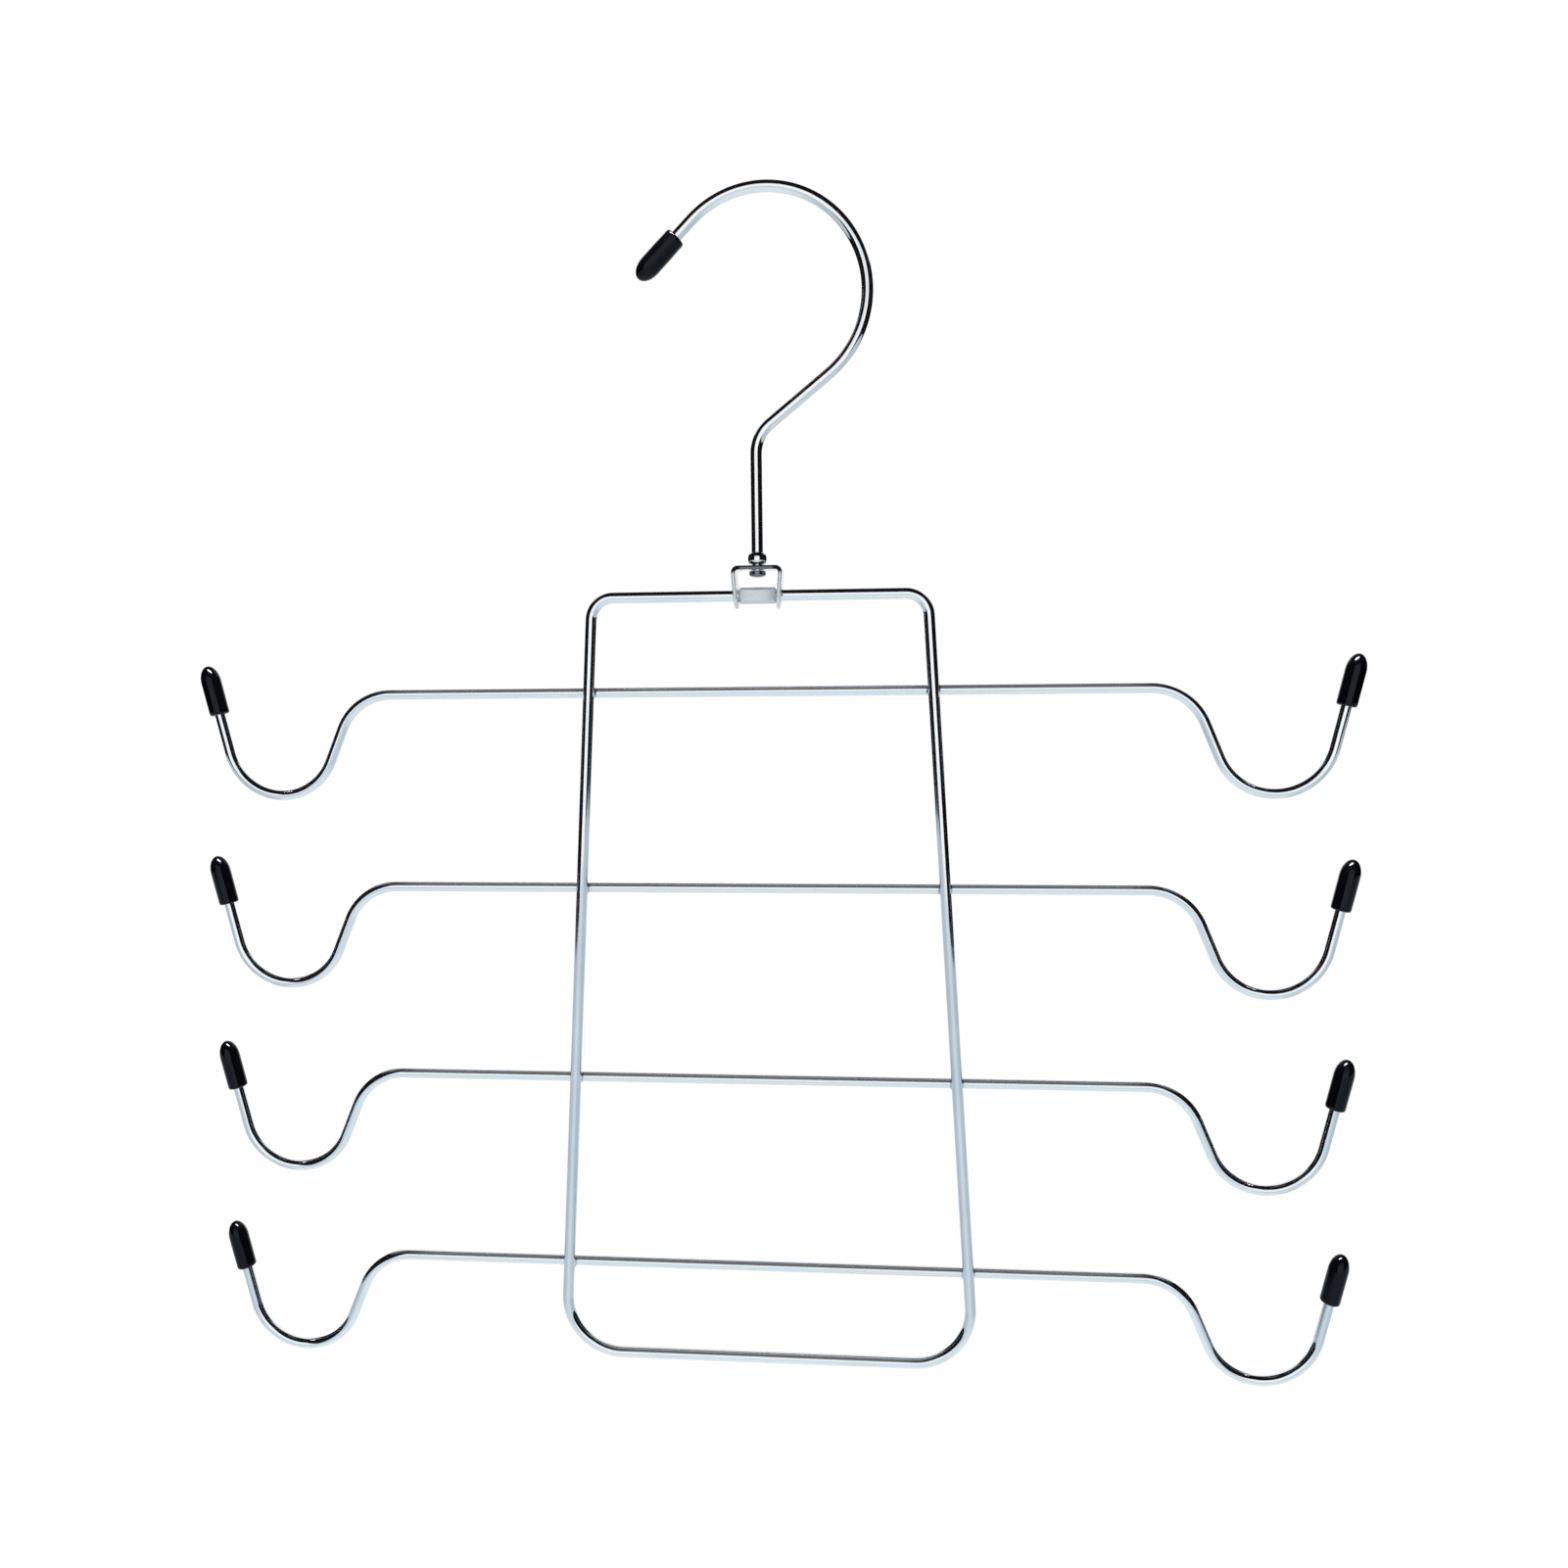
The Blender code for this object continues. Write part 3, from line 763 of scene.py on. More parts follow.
class RoundStock:
    """Round stock that is fed forward and bent in one plane with Blender's edit tools."""

    bend_step = 3.0             # degrees from one ring of a bend to the next
    line_step = 0.4             # millimetres from one sample of the centre line to the next

    def __init__(self, name: str, start: Vector, heading: float, radius: float,
                 sides: int = 32) -> None:
        """Set the section at its start.

        Args:
            name: the piece's name.
            start: centre of the section, in millimetres.
            heading: degrees from +X towards +Z.
            radius: radius of the section, in millimetres.
            sides: facets round the section.
        """
        self.piece = start_from(
            bpy.ops.mesh.primitive_circle_add, name, vertices=sides, radius=radius * MM,
            fill_type="NOTHING", location=start * MM,
            rotation=(0.0, QUARTER - math.radians(heading), 0.0))
        bpy.ops.object.mode_set(mode="EDIT")
        bpy.ops.mesh.select_all(action="SELECT")
        self.place = Vector(start)
        self.heading = math.radians(heading)
        self.radius = radius
        self.along = 0.0
        self.line: list[Stretch] = []

    def feed(self, length: float, radius: float | None = None) -> RoundStock:
        """Push the section straight on.

        Args:
            length: how far.
            radius: the radius that it swells or is drawn to on the way, if it changes.

        Returns:
            The stock, for the next step.
        """
        step = compass(self.heading) * length
        extrude(step)
        self.line.append(Stretch(self.along, self.place.copy(), self.heading, length))
        self.place += step
        self.along += length
        if radius is not None and radius != self.radius:
            factor = radius / self.radius
            bpy.ops.transform.resize(value=(factor,) * 3, center_override=self.place * MM)
            self.radius = radius
        return self

    def bend(self, radius: float, turn: float) -> None:
        """Bend the stock round a former.

        Args:
            radius: the bend's radius at the centre line.
            turn: how far it turns in degrees, to the left if it is positive.
        """
        centre = self.place + compass(self.heading + math.copysign(QUARTER, turn)) * radius
        bpy.ops.mesh.spin(steps=math.ceil(abs(turn) / self.bend_step), angle=math.radians(turn),
                          center=centre * MM, axis=(0.0, 1.0, 0.0))
        length = radius * math.radians(abs(turn))
        stretch = Stretch(self.along, self.place.copy(), self.heading, length, math.radians(turn))
        self.line.append(stretch)
        self.place, self.heading = stretch.point(1.0)
        self.along += length

    def swell(self, outline: Sequence[Pair]) -> None:
        """Follow an outline of travel so far and radius, one ring for each pair."""
        start = self.along
        for travel, radius in outline:
            self.feed(start + travel - self.along, radius)

    def close(self) -> None:
        """Close the free end with a face."""
        bpy.ops.mesh.edge_face_add()

    def close_start(self) -> None:
        """Close the end that the stock began with."""
        bpy.ops.mesh.select_mode(type="EDGE")
        bpy.ops.mesh.select_all(action="DESELECT")
        bpy.ops.mesh.select_non_manifold()
        bpy.ops.mesh.edge_face_add()
        bpy.ops.mesh.select_mode(type="VERT")

    def finish(self, mirror: bool = False) -> bpy.types.Object:
        """Leave edit mode and clean the piece.

        Args:
            mirror: completes a piece that was modelled as its right half.

        Returns:
            The piece.
        """
        bpy.ops.object.mode_set(mode="OBJECT")
        if mirror:
            apply_modifier(self.piece, "MIRROR", use_axis=(True, False, False),
                           merge_threshold=0.02 * MM)
        clean(self.piece)
        return self.piece

    def mark(self, piece: bpy.types.Object, drop: float = 0.0, offset: float = 0.0) -> None:
        """Store every point's place on the straight stock, in metres, mirrored halves included.

        Args:
            piece: the wire, or a copy of it.
            drop: how far below the original the copy is.
            offset: length added along the stock, so that copies don't share their marks.
        """
        shares = [(stretch, share) for stretch in self.line if stretch.length > NEAR
                  for share in np.linspace(0.0, 1.0, max(2, int(stretch.length / self.line_step)))]
        places = np.array([tuple(stretch.point(share)[0]) for stretch, share in shares])
        places[:, 2] -= drop
        headings = np.array([stretch.point(share)[1] for stretch, share in shares])
        travel = np.array([stretch.along + stretch.length * share for stretch, share in shares])
        points = np.empty(len(piece.data.vertices) * 3)
        piece.data.vertices.foreach_get("co", points)
        points = points.reshape(-1, 3) / MM
        if places[:, 0].min() > -NEAR:
            points[:, 0] = np.abs(points[:, 0])
        nearest = np.array([np.argmin(((places - point) ** 2).sum(1)) for point in points])
        offsets = points - places[nearest]
        cos, sin = np.cos(headings[nearest]), np.sin(headings[nearest])
        forward = offsets[:, 0] * cos + offsets[:, 2] * sin
        left = offsets[:, 2] * cos - offsets[:, 0] * sin
        stock = np.stack([travel[nearest] + forward + offset, offsets[:, 1], left], 1) * MM
        attribute = piece.data.attributes.new(STOCK, "FLOAT_VECTOR", "POINT")
        attribute.data.foreach_set("vector", stock.astype(np.float32).ravel())


@dataclass(frozen=True)
class VinylTip:
    """Dipped tip: a bullet nose, a barrel, a soft rolled mouth and a snug bore.

    Attributes:
        wire_radius: radius of the wire that it is pushed over.
        length: from its mouth to its nose.
        swell: how much wider the barrel is than the mouth.
        nose_turn: how much of a quarter round the nose is, before its last ring closes.
        bead: how far the rolled mouth stands out.
        rings: travel past the mouth's rounding, share of the bead and share of the swell.
        grip: how much smaller the bore is than the wire.
    """

    wire_radius: float
    length: float
    wall: float = 1.05
    swell: float = 0.12
    nose_length: float = 5.2
    nose_wall: float = 1.6
    nose_steps: int = 14
    nose_turn: float = 86.0
    mouth_round: float = 0.7
    mouth_steps: int = 5
    bead: float = 0.07
    rings: tuple[Triple, ...] = ((0.5, 1.0, 0.0), (1.1, 0.4, 0.0), (2.4, 0.0, 0.5), (5.0, 0.0, 1.0))
    grip: float = 0.04

    @property
    def ahead(self) -> float:
        """How far the tip reaches past the end of its wire."""
        return self.nose_wall + GAP

    def build(self, name: str) -> bpy.types.Object:
        """Model the tip pointing up from the origin, which is the middle of its mouth.

        Args:
            name: the piece's name.

        Returns:
            The piece.
        """
        mouth = self.wire_radius + GAP + self.wall
        barrel = mouth + self.swell
        bore = self.wire_radius - self.grip
        stock = RoundStock(name, Vector((0.0, 0.0, self.mouth_round)), 90.0, bore)
        stock.feed(-self.mouth_round, bore + self.mouth_round / 2)
        stock.feed(0.0, mouth - self.mouth_round)
        stock.swell(widening(self.mouth_steps, mouth, self.mouth_round, self.mouth_round))
        stock.swell([(travel, mouth + self.bead * bead + self.swell * swell)
                     for travel, bead, swell in self.rings])
        stock.feed(self.length - self.nose_length - stock.place.z, barrel)
        stock.swell(narrowing(self.nose_steps, barrel, barrel, self.nose_length,
                              self.nose_length, self.nose_turn))
        stock.feed(self.length - stock.place.z)
        bpy.ops.mesh.merge(type="CENTER")
        select_points(stock.piece, lambda place: abs(place.z - self.mouth_round) < NEAR
                      and math.hypot(place.x, place.y) < bore + NEAR)
        extrude((0.0, 0.0, self.length - self.nose_wall - self.mouth_round))
        bpy.ops.mesh.merge(type="CENTER")
        tip = stock.finish()
        shade(tip, angle=60.0)
        return tip

    def seat(self, end: Vector, heading: float) -> Matrix:
        """Place of the tip on a wire that ends here and heads this way."""
        mouth = end - compass(heading) * (self.length - self.ahead)
        return Matrix.Translation(mouth * MM) @ Matrix.Rotation(QUARTER - heading, 4, "Y")


@dataclass
class Hook:
    """Hook wire with its peened head, neck and upset collar, and the tip on its end.

    Attributes:
        shank_rise: from the loop's top run to where the shank bends.
        collar_round: width of the collar's roundings, as collar_crown is their height.
        collar_fade: travel and swell of each ring from the collar to the plain wire.
        head_bottom: height of the head above the loop's top run.
        pole_radius: radius of the head's first ring, as pole_angle is its angle.
        round_steps: rings in the head's dome and in each rounding of the collar.
        rim_steps: rings in the rounding of the head's rim.
    """

    wire_radius: float = 1.75
    shank_rise: float = 42.1
    shank_bend_radius: float = 11.1
    shank_bend_turn: float = 51.5
    diagonal_run: float = 22.75
    crown_radius: float = 30.6
    crown_turn: float = 186.5
    tail_run: float = 22.9
    collar_radius: float = 2.9
    collar_height: float = 3.7
    collar_round: float = 1.1
    collar_crown: float = 1.7
    collar_fade: tuple[Pair, ...] = ((0.2, 0.03), (0.4, 0.0))
    neck_radius: float = 1.5
    head_radius: float = 2.5
    head_height: float = 1.9
    head_rim: float = 1.1
    head_round: float = 0.25
    head_bottom: float = 5.431
    pole_radius: float = 0.373595
    pole_angle: float = 8.6
    clip_thickness: float = 1.2
    round_steps: int = 7
    rim_steps: int = 4
    tip: VinylTip = VinylTip(1.75, 16.6)

    def build(self) -> None:
        """Model the wire from its head to its tail, and the tip on it."""
        start = Vector((0.0, 0.0, FOLD_AXIS_Z + self.head_bottom))
        stock = RoundStock("hook_formed_wire", start, 90.0, self.pole_radius, sides=36)
        self.form_head(stock)
        self.form_collar(stock)
        stock.feed(self.shank_rise + FOLD_AXIS_Z - stock.place.z)
        stock.bend(self.shank_bend_radius, -self.shank_bend_turn)
        stock.feed(self.diagonal_run)
        stock.bend(self.crown_radius, self.crown_turn)
        stock.feed(self.tail_run - self.tip.ahead).close()
        stock.close_start()
        wire = stock.finish()
        shade(wire)
        stock.mark(wire)
        adopt(wire, HOOK_CHROME, Body.HOOK, Slot.HOOK_CHROME, "hook_wire")
        tip = self.tip.build("hook_vinyl_tip")
        tip.matrix_world = self.tip.seat(stock.place, stock.heading)
        settle(tip)
        adopt(tip, VINYL, Body.HOOK, Slot.BLACK_VINYL, "hook_tip")

    def form_head(self, stock: RoundStock) -> None:
        """Swell the end to a low dome with a rounded rim, and draw in again to the neck.

        Args:
            stock: the wire at its start.
        """
        radius, height, soft = self.head_radius, self.head_height, self.head_round
        dome = height - self.head_rim
        stock.swell([*widening(self.round_steps, radius, radius, dome, self.pole_angle),
                     (height - soft, radius),
                     *narrowing(self.rim_steps, radius, soft, soft, height)])
        stock.feed(0.0, self.neck_radius)

    def form_collar(self, stock: RoundStock) -> None:
        """Pass the clip's top as the neck, and swell to the upset collar above it.

        Args:
            stock: the wire at the top of its head.
        """
        radius, rim, crown = self.collar_radius, self.collar_round, self.collar_crown
        stock.feed(self.clip_thickness + 2 * GAP).feed(0.0, radius - rim)
        stock.swell([*widening(self.round_steps, radius, rim, crown),
                     (self.collar_height - crown, radius),
                     *narrowing(self.round_steps, radius, rim, crown, self.collar_height)])
        for travel, swell in self.collar_fade:
            stock.feed(travel, self.wire_radius + swell)


@dataclass
class SwivelClip:
    """Strap of pressed steel, bent over the loop's top run, with rounded feet and three holes.

    Attributes:
        top: height of its top above the loop's top run.
        lean: how far its legs spread.
        flat_length: length of the loop's flat between its legs.
        rim_angle: edges sharper than this are rims.
        spare: extra strap that the outline cuts away.
    """

    thickness: float = 1.2
    half_depth: float = 4.0
    top: float = 8.831
    lean: float = 4.2
    bend_radius: float = 2.2
    flat_length: float = 11.4
    leg_hole_radius: float = 1.96
    top_hole_radius: float = 1.8
    rim_round: float = 0.57
    rim_angle: float = 32.0
    spare: float = 1.0

    def build(self) -> None:
        """Bend the strap, give it its thickness, cut its outline and holes, and round its rims."""
        lean = math.tan(math.radians(self.lean))
        thick = self.thickness / math.cos(math.radians(self.lean))
        at_axis = self.flat_length / 2 + GAP + thick
        top_half = at_axis + self.top * lean
        clip = self.bent_strap(top_half, at_axis - (self.half_depth + self.spare) * lean)
        apply_modifier(clip, "SOLIDIFY", thickness=self.thickness * MM, offset=-1.0,
                       use_even_offset=True)
        reach = 2 * top_half
        cut(clip, self.side_outline(reach), "INTERSECT")
        across = Vector((-reach, 0.0, FOLD_AXIS_Z))
        cut(clip, self.drill(across, 0.0, self.leg_hole_radius, 2 * reach))
        upward = Vector((0.0, 0.0, FOLD_AXIS_Z + self.top - 2 * self.thickness))
        cut(clip, self.drill(upward, 90.0, self.top_hole_radius, self.top))
        clean(clip, merge=0.002)
        apply_modifier(clip, "BEVEL", width=self.rim_round * MM, segments=5, limit_method="ANGLE",
                       angle_limit=math.radians(self.rim_angle), use_clamp_overlap=False)
        shade(clip, angle=38.0)
        adopt(clip, NICKEL, Body.CLIP, Slot.CLIP_NICKEL, "swivel_clip")

    def bent_strap(self, top_half: float, foot_half: float) -> bpy.types.Object:
        """Model the strap's outer skin as a plate whose sides are pulled down and bent round.

        Args:
            top_half: half its width at the top, before the bends.
            foot_half: half its width at the feet.

        Returns:
            The skin, open all round.
        """
        half_depth = self.half_depth + self.spare
        crown = Vector((0.0, 0.0, FOLD_AXIS_Z + self.top)) * MM
        clip = start_from(bpy.ops.mesh.primitive_plane_add, "swivel_clip_strap", size=2 * MM,
                          location=crown)
        with editing(clip):
            bpy.ops.transform.resize(value=(top_half, half_depth, 1.0), center_override=crown)
            for side in Side:
                select_points(clip, lambda place: place.x * side.value > top_half - NEAR)
                extrude((side.value * (foot_half - top_half), 0.0, -self.top - half_depth))
            bpy.ops.mesh.select_mode(type="EDGE")
            select(clip, Part.EDGE, lambda edge: len(edge.link_faces) == 2)
            bpy.ops.mesh.bevel(offset=self.bend_radius * MM, segments=12, affect="EDGES")
        clean(clip)
        return clip

    def side_outline(self, reach: float) -> bpy.types.Object:
        """Model the strap's outline from the side as a solid: straight, with a round foot.

        Args:
            reach: how far it goes to each side.

        Returns:
            The tool.
        """
        tool = start_from(bpy.ops.mesh.primitive_cylinder_add, "side_outline", vertices=96,
                          radius=self.half_depth * MM, depth=2 * reach * MM,
                          location=(0.0, 0.0, FOLD_AXIS_Z * MM), rotation=(0.0, QUARTER, 0.0))
        level = FOLD_AXIS_Z + self.top + self.thickness
        with editing(tool):
            select_points(tool, lambda place: place.z > FOLD_AXIS_Z + NEAR)
            flatten(2, level)
            for side in (-1, 1):
                select_points(tool, lambda place: place.z > level - NEAR and place.y * side > NEAR)
                flatten(1, side * self.half_depth)
        clean(tool)
        return tool

    @staticmethod
    def drill(start: Vector, heading: float, radius: float, length: float) -> bpy.types.Object:
        """Model a round cutter.

        Args:
            start: the centre of its end.
            heading: degrees from +X towards +Z.
            radius: its radius.
            length: its length.

        Returns:
            The cutter.
        """
        stock = RoundStock("drill", start, heading, radius, sides=48)
        stock.feed(length).close()
        stock.close_start()
        return stock.finish()


@dataclass
class Loop:
    """Tapering loop of one wire with the pressed flat in its top run, butt-welded below.

    Attributes:
        top_half: half the loop's width where its sides would meet its top run.
        flat_half: half the length of the flat with its shoulders.
        flat_sharp: edges of the flat sharper than this are rounded.
        shoulder: length of the ease from the flat to the round wire.
        shoulder_steps: rings in that ease.
        weld_bead: travel and swell of each ring of half the butt weld's bead.
    """

    wire_radius: float = 1.7
    top_half: float = 51.2
    bottom_half: float = 65.4
    height: float = 241.2
    top_corner: float = 7.0
    bottom_corner: float = 17.6
    flat_half: float = 5.7
    flat_height: float = 5.0
    flat_thickness: float = 2.2
    flat_round: float = 0.3
    flat_sharp: float = 20.0
    shoulder: float = 0.55
    shoulder_steps: int = 5
    weld_bead: tuple[Pair, ...] = ((0.35, 0.02), (0.3, 0.12), (0.25, 0.05))

    @property
    def lean(self) -> float:
        """How far a side leans out, in degrees."""
        return math.degrees(math.atan2(self.bottom_half - self.top_half, self.height))

    def half_width(self, drop: float) -> float:
        """Distance of a side's centre line from the middle, this far below the top run."""
        return self.top_half + (self.bottom_half - self.top_half) * drop / self.height

    def build(self) -> None:
        """Feed and bend the right half, press its flat, and mirror it."""
        top_turn, bottom_turn = 90.0 - self.lean, 90.0 + self.lean
        top_cut = self.top_corner * math.tan(math.radians(top_turn / 2))
        bottom_cut = self.bottom_corner * math.tan(math.radians(bottom_turn / 2))
        side_run = self.height / math.cos(math.radians(self.lean)) - top_cut - bottom_cut
        start = Vector((0.0, 0.0, FOLD_AXIS_Z))
        stock = RoundStock("loop_formed_wire", start, 0.0, self.wire_radius)
        stock.feed(self.flat_half - self.shoulder)
        for _ in range(self.shoulder_steps):
            stock.feed(self.shoulder / self.shoulder_steps)
        self.press(stock.piece)
        stock.feed(self.top_half - self.flat_half - top_cut)
        stock.bend(self.top_corner, -top_turn)
        stock.feed(side_run)
        stock.bend(self.bottom_corner, -bottom_turn)
        stock.feed(self.bottom_half - bottom_cut - sum(travel for travel, _ in self.weld_bead))
        for travel, swell in self.weld_bead:
            stock.feed(travel, self.wire_radius + swell)
        loop = stock.finish(mirror=True)
        self.round_flat(loop)
        shade(loop)
        stock.mark(loop)
        adopt(loop, LOOP_CHROME, Body.FRAME, Slot.FRAME_CHROME, "loop_wire")

    def round_flat(self, loop: bpy.types.Object) -> None:
        """Round the long edges of the flat, as far as its shoulders.

        Args:
            loop: the whole loop.
        """
        reach = (self.flat_half - self.shoulder + NEAR) * MM
        sharp = math.radians(self.flat_sharp)
        with editing(loop, Part.EDGE):
            select(loop, Part.EDGE, lambda edge: edge.calc_length() > MM
                   and max(abs(end.co.x) for end in edge.verts) < reach
                   and edge.calc_face_angle(0.0) > sharp)
            bpy.ops.mesh.bevel(offset=self.flat_round * MM, segments=3, affect="EDGES")

    def press(self, piece: bpy.types.Object) -> None:
        """Squeeze the rings fed so far between two flat dies, easing out over the shoulder.

        Args:
            piece: the wire in edit mode, fed as far as the shoulder's end.
        """
        rings = [0.0, *(self.flat_half - self.shoulder * step / self.shoulder_steps
                        for step in range(self.shoulder_steps, -1, -1))]
        for x in rings:
            squeeze = min(1.0, (self.flat_half - x) / self.shoulder)
            squeeze = squeeze * squeeze * (3.0 - 2.0 * squeeze)
            tall = 1.0 + squeeze * (self.flat_height / (2 * self.wire_radius) - 1.0)
            face = self.wire_radius + squeeze * (self.flat_thickness / 2 - self.wire_radius)
            select_points(piece, lambda place: abs(place.x - x) < NEAR)
            bpy.ops.transform.resize(value=(1.0, 1.0, tall),
                                     center_override=(x * MM, 0.0, FOLD_AXIS_Z * MM))
            for side in (-1, 1):
                if select_points(piece, lambda place: abs(place.x - x) < NEAR
                                 and place.y * side > face):
                    flatten(1, side * face)
        select_points(piece, lambda place: abs(place.x - self.flat_half) < NEAR)


@dataclass
class Tiers:
    """Four strap bars behind the loop with their tips, and the welds that hold them.

    Attributes:
        first_drop: from the loop's top run down to the first bar.
        pitch: from one bar down to the next.
        depth: how far behind the loop's centre line the bars' centre lines are.
        tail_run: the straight end, with the tip's nose.
        weld_half: half the weld's width, depth and height before it is smoothed.
        weld_lobes: direction and factor of each uneven part of its rim.
        lobe_share: how close to a lobe's direction a point is to move with it, as a cosine.
    """

    loop: Loop
    count: int = 4
    first_drop: float = 29.0
    pitch: float = 61.1
    depth: float = 2.8
    wire_radius: float = 1.548
    half_run: float = 117.3
    shoulder_radius: float = 17.5
    shoulder_turn: float = 67.0
    shoulder_run: float = 11.4
    cradle_radius: float = 17.5
    cradle_turn: float = 144.0
    tail_run: float = 28.5
    weld_half: Triple = (2.1, 0.85, 2.0)
    weld_lobes: tuple[Pair, ...] = ((38.0, 1.14), (131.0, 1.10), (222.0, 1.16), (319.0, 1.08),
                                    (84.0, 0.93))
    lobe_share: float = 0.86
    tip: VinylTip = VinylTip(1.6, 15.8, swell=0.03, bead=0.03, grip=0.07)

    def build(self) -> None:
        """Model one bar, one tip and one weld, and copy them to every tier and side."""
        start = Vector((0.0, self.depth, FOLD_AXIS_Z))
        stock = RoundStock("bar_pattern", start, 0.0, self.wire_radius)
        stock.feed(self.half_run)
        stock.bend(self.shoulder_radius, -self.shoulder_turn)
        stock.feed(self.shoulder_run)
        stock.bend(self.cradle_radius, self.cradle_turn)
        stock.feed(self.tail_run - self.tip.ahead).close()
        bar = stock.finish(mirror=True)
        shade(bar)
        tip = self.tip.build("tip_pattern")
        weld = self.weld_pattern()
        for tier in range(1, self.count + 1):
            down = self.drop(tier)
            copy = duplicate(bar, f"tier_{tier}_formed_bar", Matrix.Translation((0, 0, -down * MM)))
            stock.mark(copy, down, STOCK_LENGTH * tier)
            adopt(copy, BAR_CHROME, Body.FRAME, Slot.FRAME_CHROME, f"tier_{tier}_bar")
            for side in Side:
                self.dress_side(tip, weld, stock, tier, side)
        for pattern in (bar, tip, weld):
            bpy.data.objects.remove(pattern, do_unlink=True)

    def drop(self, tier: int) -> float:
        """How far below the loop's top run a tier is, the first being tier 1."""
        return self.first_drop + self.pitch * (tier - 1)

    def dress_side(self, tip: bpy.types.Object, weld: bpy.types.Object, stock: RoundStock,
                   tier: int, side: Side) -> None:
        """Push a copy of the tip over one end of a bar, and weld the bar to that side of the loop.

        Args:
            tip: the tip to copy.
            weld: the weld to copy.
            stock: the bar's stock at its right end.
            tier: the tier's number.
            side: the end of the bar.
        """
        level = FOLD_AXIS_Z - self.drop(tier)
        name = side.name.lower()
        end = Vector((stock.place.x * side.value, stock.place.y, stock.place.z - self.drop(tier)))
        heading = stock.heading if side is Side.RIGHT else math.pi - stock.heading
        copy = duplicate(tip, f"tier_{tier}_vinyl_tip_{name}", self.tip.seat(end, heading))
        adopt(copy, VINYL, Body.FRAME, Slot.BLACK_VINYL, f"tier_{tier}_tip_{name}")
        crossing = Vector((self.loop.half_width(self.drop(tier)) * side.value,
                           (self.loop.wire_radius + self.depth - self.wire_radius) / 2, level))
        turn = -math.radians(self.loop.lean) * side.value
        if side is Side.LEFT:
            turn += math.pi
        place = Matrix.Translation(crossing * MM) @ Matrix.Rotation(turn, 4, "Y")
        adopt(duplicate(weld, f"tier_{tier}_weld_{name}", place), WELD_CHROME, Body.FRAME,
              Slot.FRAME_CHROME)

    def weld_pattern(self) -> bpy.types.Object:
        """Model the metal that a resistance weld squeezes out: a low button with an uneven rim.

        Returns:
            The button, with its middle at the origin.
        """
        weld = start_from(bpy.ops.mesh.primitive_uv_sphere_add, "weld_pattern", segments=28,
                          ring_count=16, radius=MM, rotation=(QUARTER, 0.0, 0.0))
        with editing(weld):
            bpy.ops.transform.resize(value=self.weld_half, center_override=(0.0, 0.0, 0.0))
            for angle, factor in self.weld_lobes:
                towards = compass(math.radians(angle))
                select_points(weld, lambda place: place.normalized().dot(towards) > self.lobe_share)
                bpy.ops.transform.resize(value=(factor, 1.0, factor),
                                         center_override=(0.0, 0.0, 0.0))
        apply_modifier(weld, "SMOOTH", factor=0.5, iterations=2)
        clean(weld)
        shade(weld, angle=60.0)
        return weld


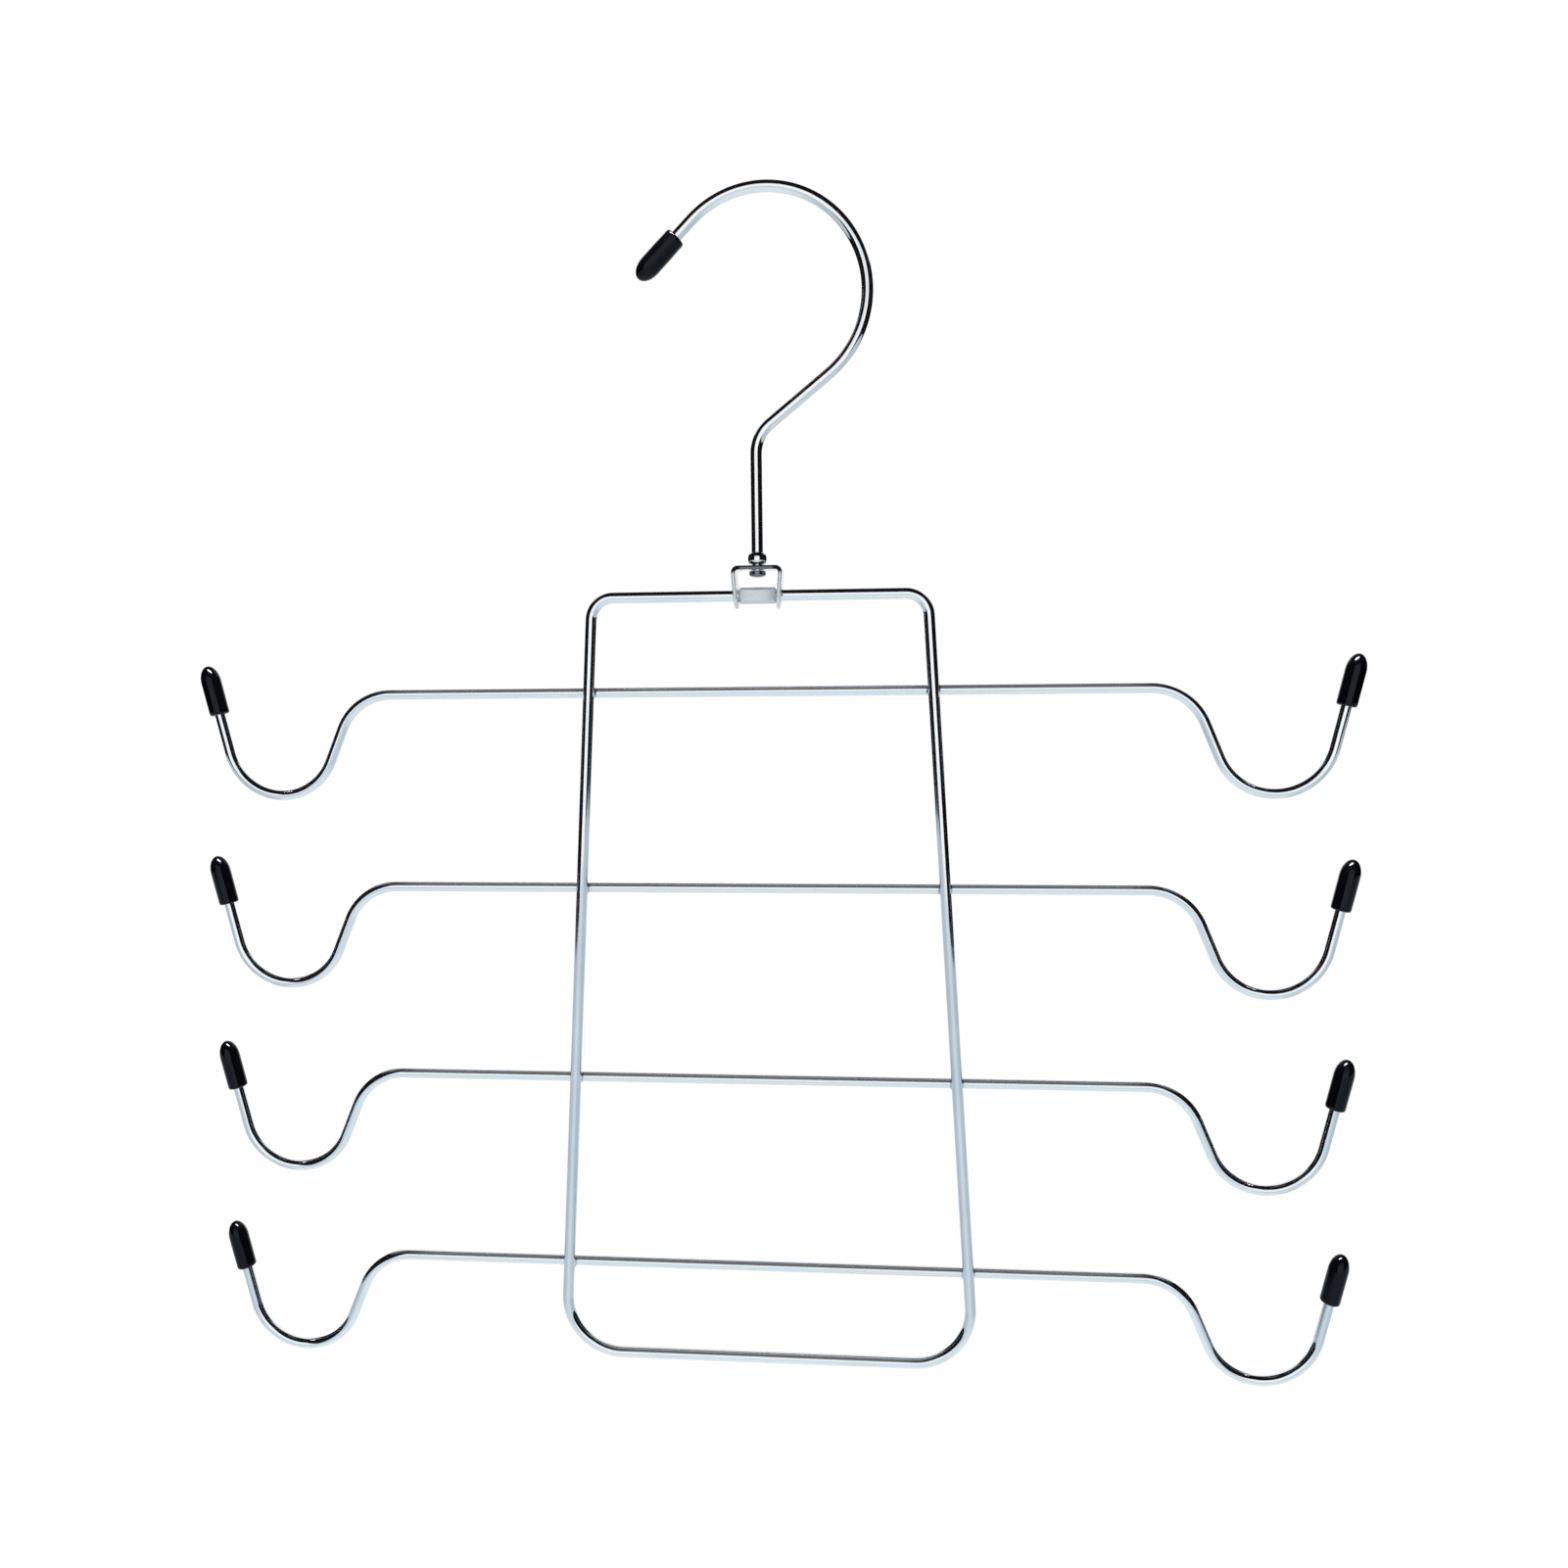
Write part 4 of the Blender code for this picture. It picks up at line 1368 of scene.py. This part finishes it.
@dataclass
class Studio:
    """Camera, floor, lamp, a black drum for the plate to reflect, and the white around them.

    The sizes of the floor, the drum and the lamp are metres.

    Attributes:
        target: the point that the camera looks at.
        yaw: how far to the right of straight in front the camera stands.
        pitch: how far above.
        focal_pixels: focal length in pixels of the frame.
        drum_top_back: how far back the drum's top reaches.
        window_turn: half the angle that each of its windows takes up.
        lamp_power: the lamp's power in watts.
        overhead: heights of a direction between which the world turns bluish.
    """

    target: Triple = (7.34, 0.0, -174.92)
    distance: float = 390.09
    yaw: float = 5.28
    pitch: float = 5.05
    roll: float = 0.60
    focal_pixels: float = 1300.0
    frame_pixels: float = 1601.0
    sensor: float = 36.0
    floor_z: float = -0.98
    floor_radius: float = 4.6
    drum_radius: float = 4.36
    drum_bottom: float = -0.97
    drum_top: float = 2.29
    drum_top_back: float = 1.98
    window_turn: float = 31.0
    lamp_place: Triple = (0.0, -0.24, 0.60)
    lamp_size: Pair = (0.56, 0.17)
    lamp_power: float = 40.0
    lamp_aim: Triple = (0.0, 0.0, -0.18)
    white: Triple = (1.0, 1.0, 1.0)
    bluish: Triple = (0.78, 0.83, 0.87)
    overhead: Pair = (0.10, 0.35)

    def build(self) -> None:
        """Set up everything that isn't part of the hanger."""
        self.camera()
        self.world()
        self.floor()
        self.drum()
        self.lamp(VINYL)

    def camera(self) -> None:
        """Stand where the photographer stood."""
        turn, rise = math.radians(self.yaw), math.radians(self.pitch)
        back = Vector((math.sin(turn) * math.cos(rise), -math.cos(turn) * math.cos(rise),
                       math.sin(rise)))
        axes = back.to_track_quat("Z", "Y").to_matrix().to_4x4()
        place = Matrix.Translation((Vector(self.target) + back * self.distance) * MM)
        data = bpy.data.cameras.new("photo_camera")
        data.sensor_width = self.sensor
        data.lens = self.focal_pixels * self.sensor / self.frame_pixels
        data.clip_start = 0.01
        camera = bpy.data.objects.new("photo_camera", data)
        bpy.context.scene.collection.objects.link(camera)
        camera.matrix_world = place @ axes @ Matrix.Rotation(math.radians(-self.roll), 4, "Z")
        bpy.context.scene.camera = camera

    def world(self) -> None:
        """Surround the hanger with plain white light that the plate sees turn bluish overhead."""
        world = bpy.data.worlds.new("white_studio")
        bpy.context.scene.world = world
        graph = NodeGraph(world)
        towards = graph.node("ShaderNodeTexCoord", output="Generated")
        seen_in_plate = graph.node("ShaderNodeLightPath", output="Is Glossy Ray")
        overhead = towards.part("Z").ease(*self.overhead) * seen_in_plate
        colour = graph.blend(overhead, self.white, self.bluish)
        light = graph.node("ShaderNodeBackground", None, {"Color": colour, "Strength": 1.0})
        graph.node("ShaderNodeOutputWorld", None, {"Surface": light})

    def floor(self) -> None:
        """Lay a pale floor below."""
        floor = start_from(bpy.ops.mesh.primitive_circle_add, "studio_floor", vertices=96,
                           radius=self.floor_radius, fill_type="NGON",
                           location=(0.0, 0.0, self.floor_z))
        PALE_FLOOR.dress(floor)

    def drum(self) -> None:
        """Stand a black drum round it all, with a window before and behind, for reflections only."""
        drum = start_from(bpy.ops.mesh.primitive_cylinder_add, "black_drum", vertices=120,
                          radius=self.drum_radius, depth=self.drum_top - self.drum_bottom,
                          location=(0.0, 0.0, (self.drum_top + self.drum_bottom) / 2))
        with editing(drum, Part.FACE):
            bpy.ops.mesh.bisect(plane_co=(0.0, self.drum_top_back, 0.0), plane_no=(0.0, 1.0, 0.0))
            select(drum, Part.FACE, self.open_face)
            bpy.ops.mesh.delete(type="FACE")
        BLACK_CLOTH.dress(drum)
        for ray in ("camera", "diffuse", "shadow", "transmission"):
            setattr(drum, f"visible_{ray}", False)

    def open_face(self, face: bmesh.types.BMFace) -> bool:
        """Say if a face of the drum is its bottom, the back of its top or in a window.

        Args:
            face: the face.

        Returns:
            True if it is taken away.
        """
        middle = face.calc_center_median()
        if abs(face.normal.z) > 0.5:
            return face.normal.z < 0.0 or middle.y > self.drum_top_back
        return math.degrees(math.atan2(abs(middle.x), abs(middle.y))) < self.window_turn

    def lamp(self, finish: Finish) -> None:
        """Hang a softbox that faces the hanger and lights the pieces in one finish.

        Args:
            finish: the finish that it brings out.
        """
        data = bpy.data.lights.new("overhead_softbox", "AREA")
        data.shape = "RECTANGLE"
        data.size, data.size_y = self.lamp_size
        data.energy = self.lamp_power
        lamp = bpy.data.objects.new("overhead_softbox", data)
        bpy.context.scene.collection.objects.link(lamp)
        lamp.location = self.lamp_place
        aim = Vector(self.lamp_aim) - Vector(self.lamp_place)
        lamp.rotation_euler = aim.to_track_quat("-Z", "Y").to_euler()
        lit = bpy.data.collections.new("overhead_softbox_lights")
        for piece in bpy.data.objects:
            if finish.name in {slot.name for slot in piece.material_slots}:
                lit.objects.link(piece)
        lamp.light_linking.receiver_collection = lit


def main() -> None:
    """Build the hanger's three bodies and the studio round them."""
    logging.basicConfig(level=logging.INFO, format="%(name)s: %(message)s")
    bpy.context.scene.view_settings.view_transform = "Standard"
    loop = Loop()
    for part in (Hook(), SwivelClip(), loop, Tiers(loop), Studio()):
        LOG.info("building the %s", type(part).__name__)
        part.build()


if __name__ == "__main__":
    main()
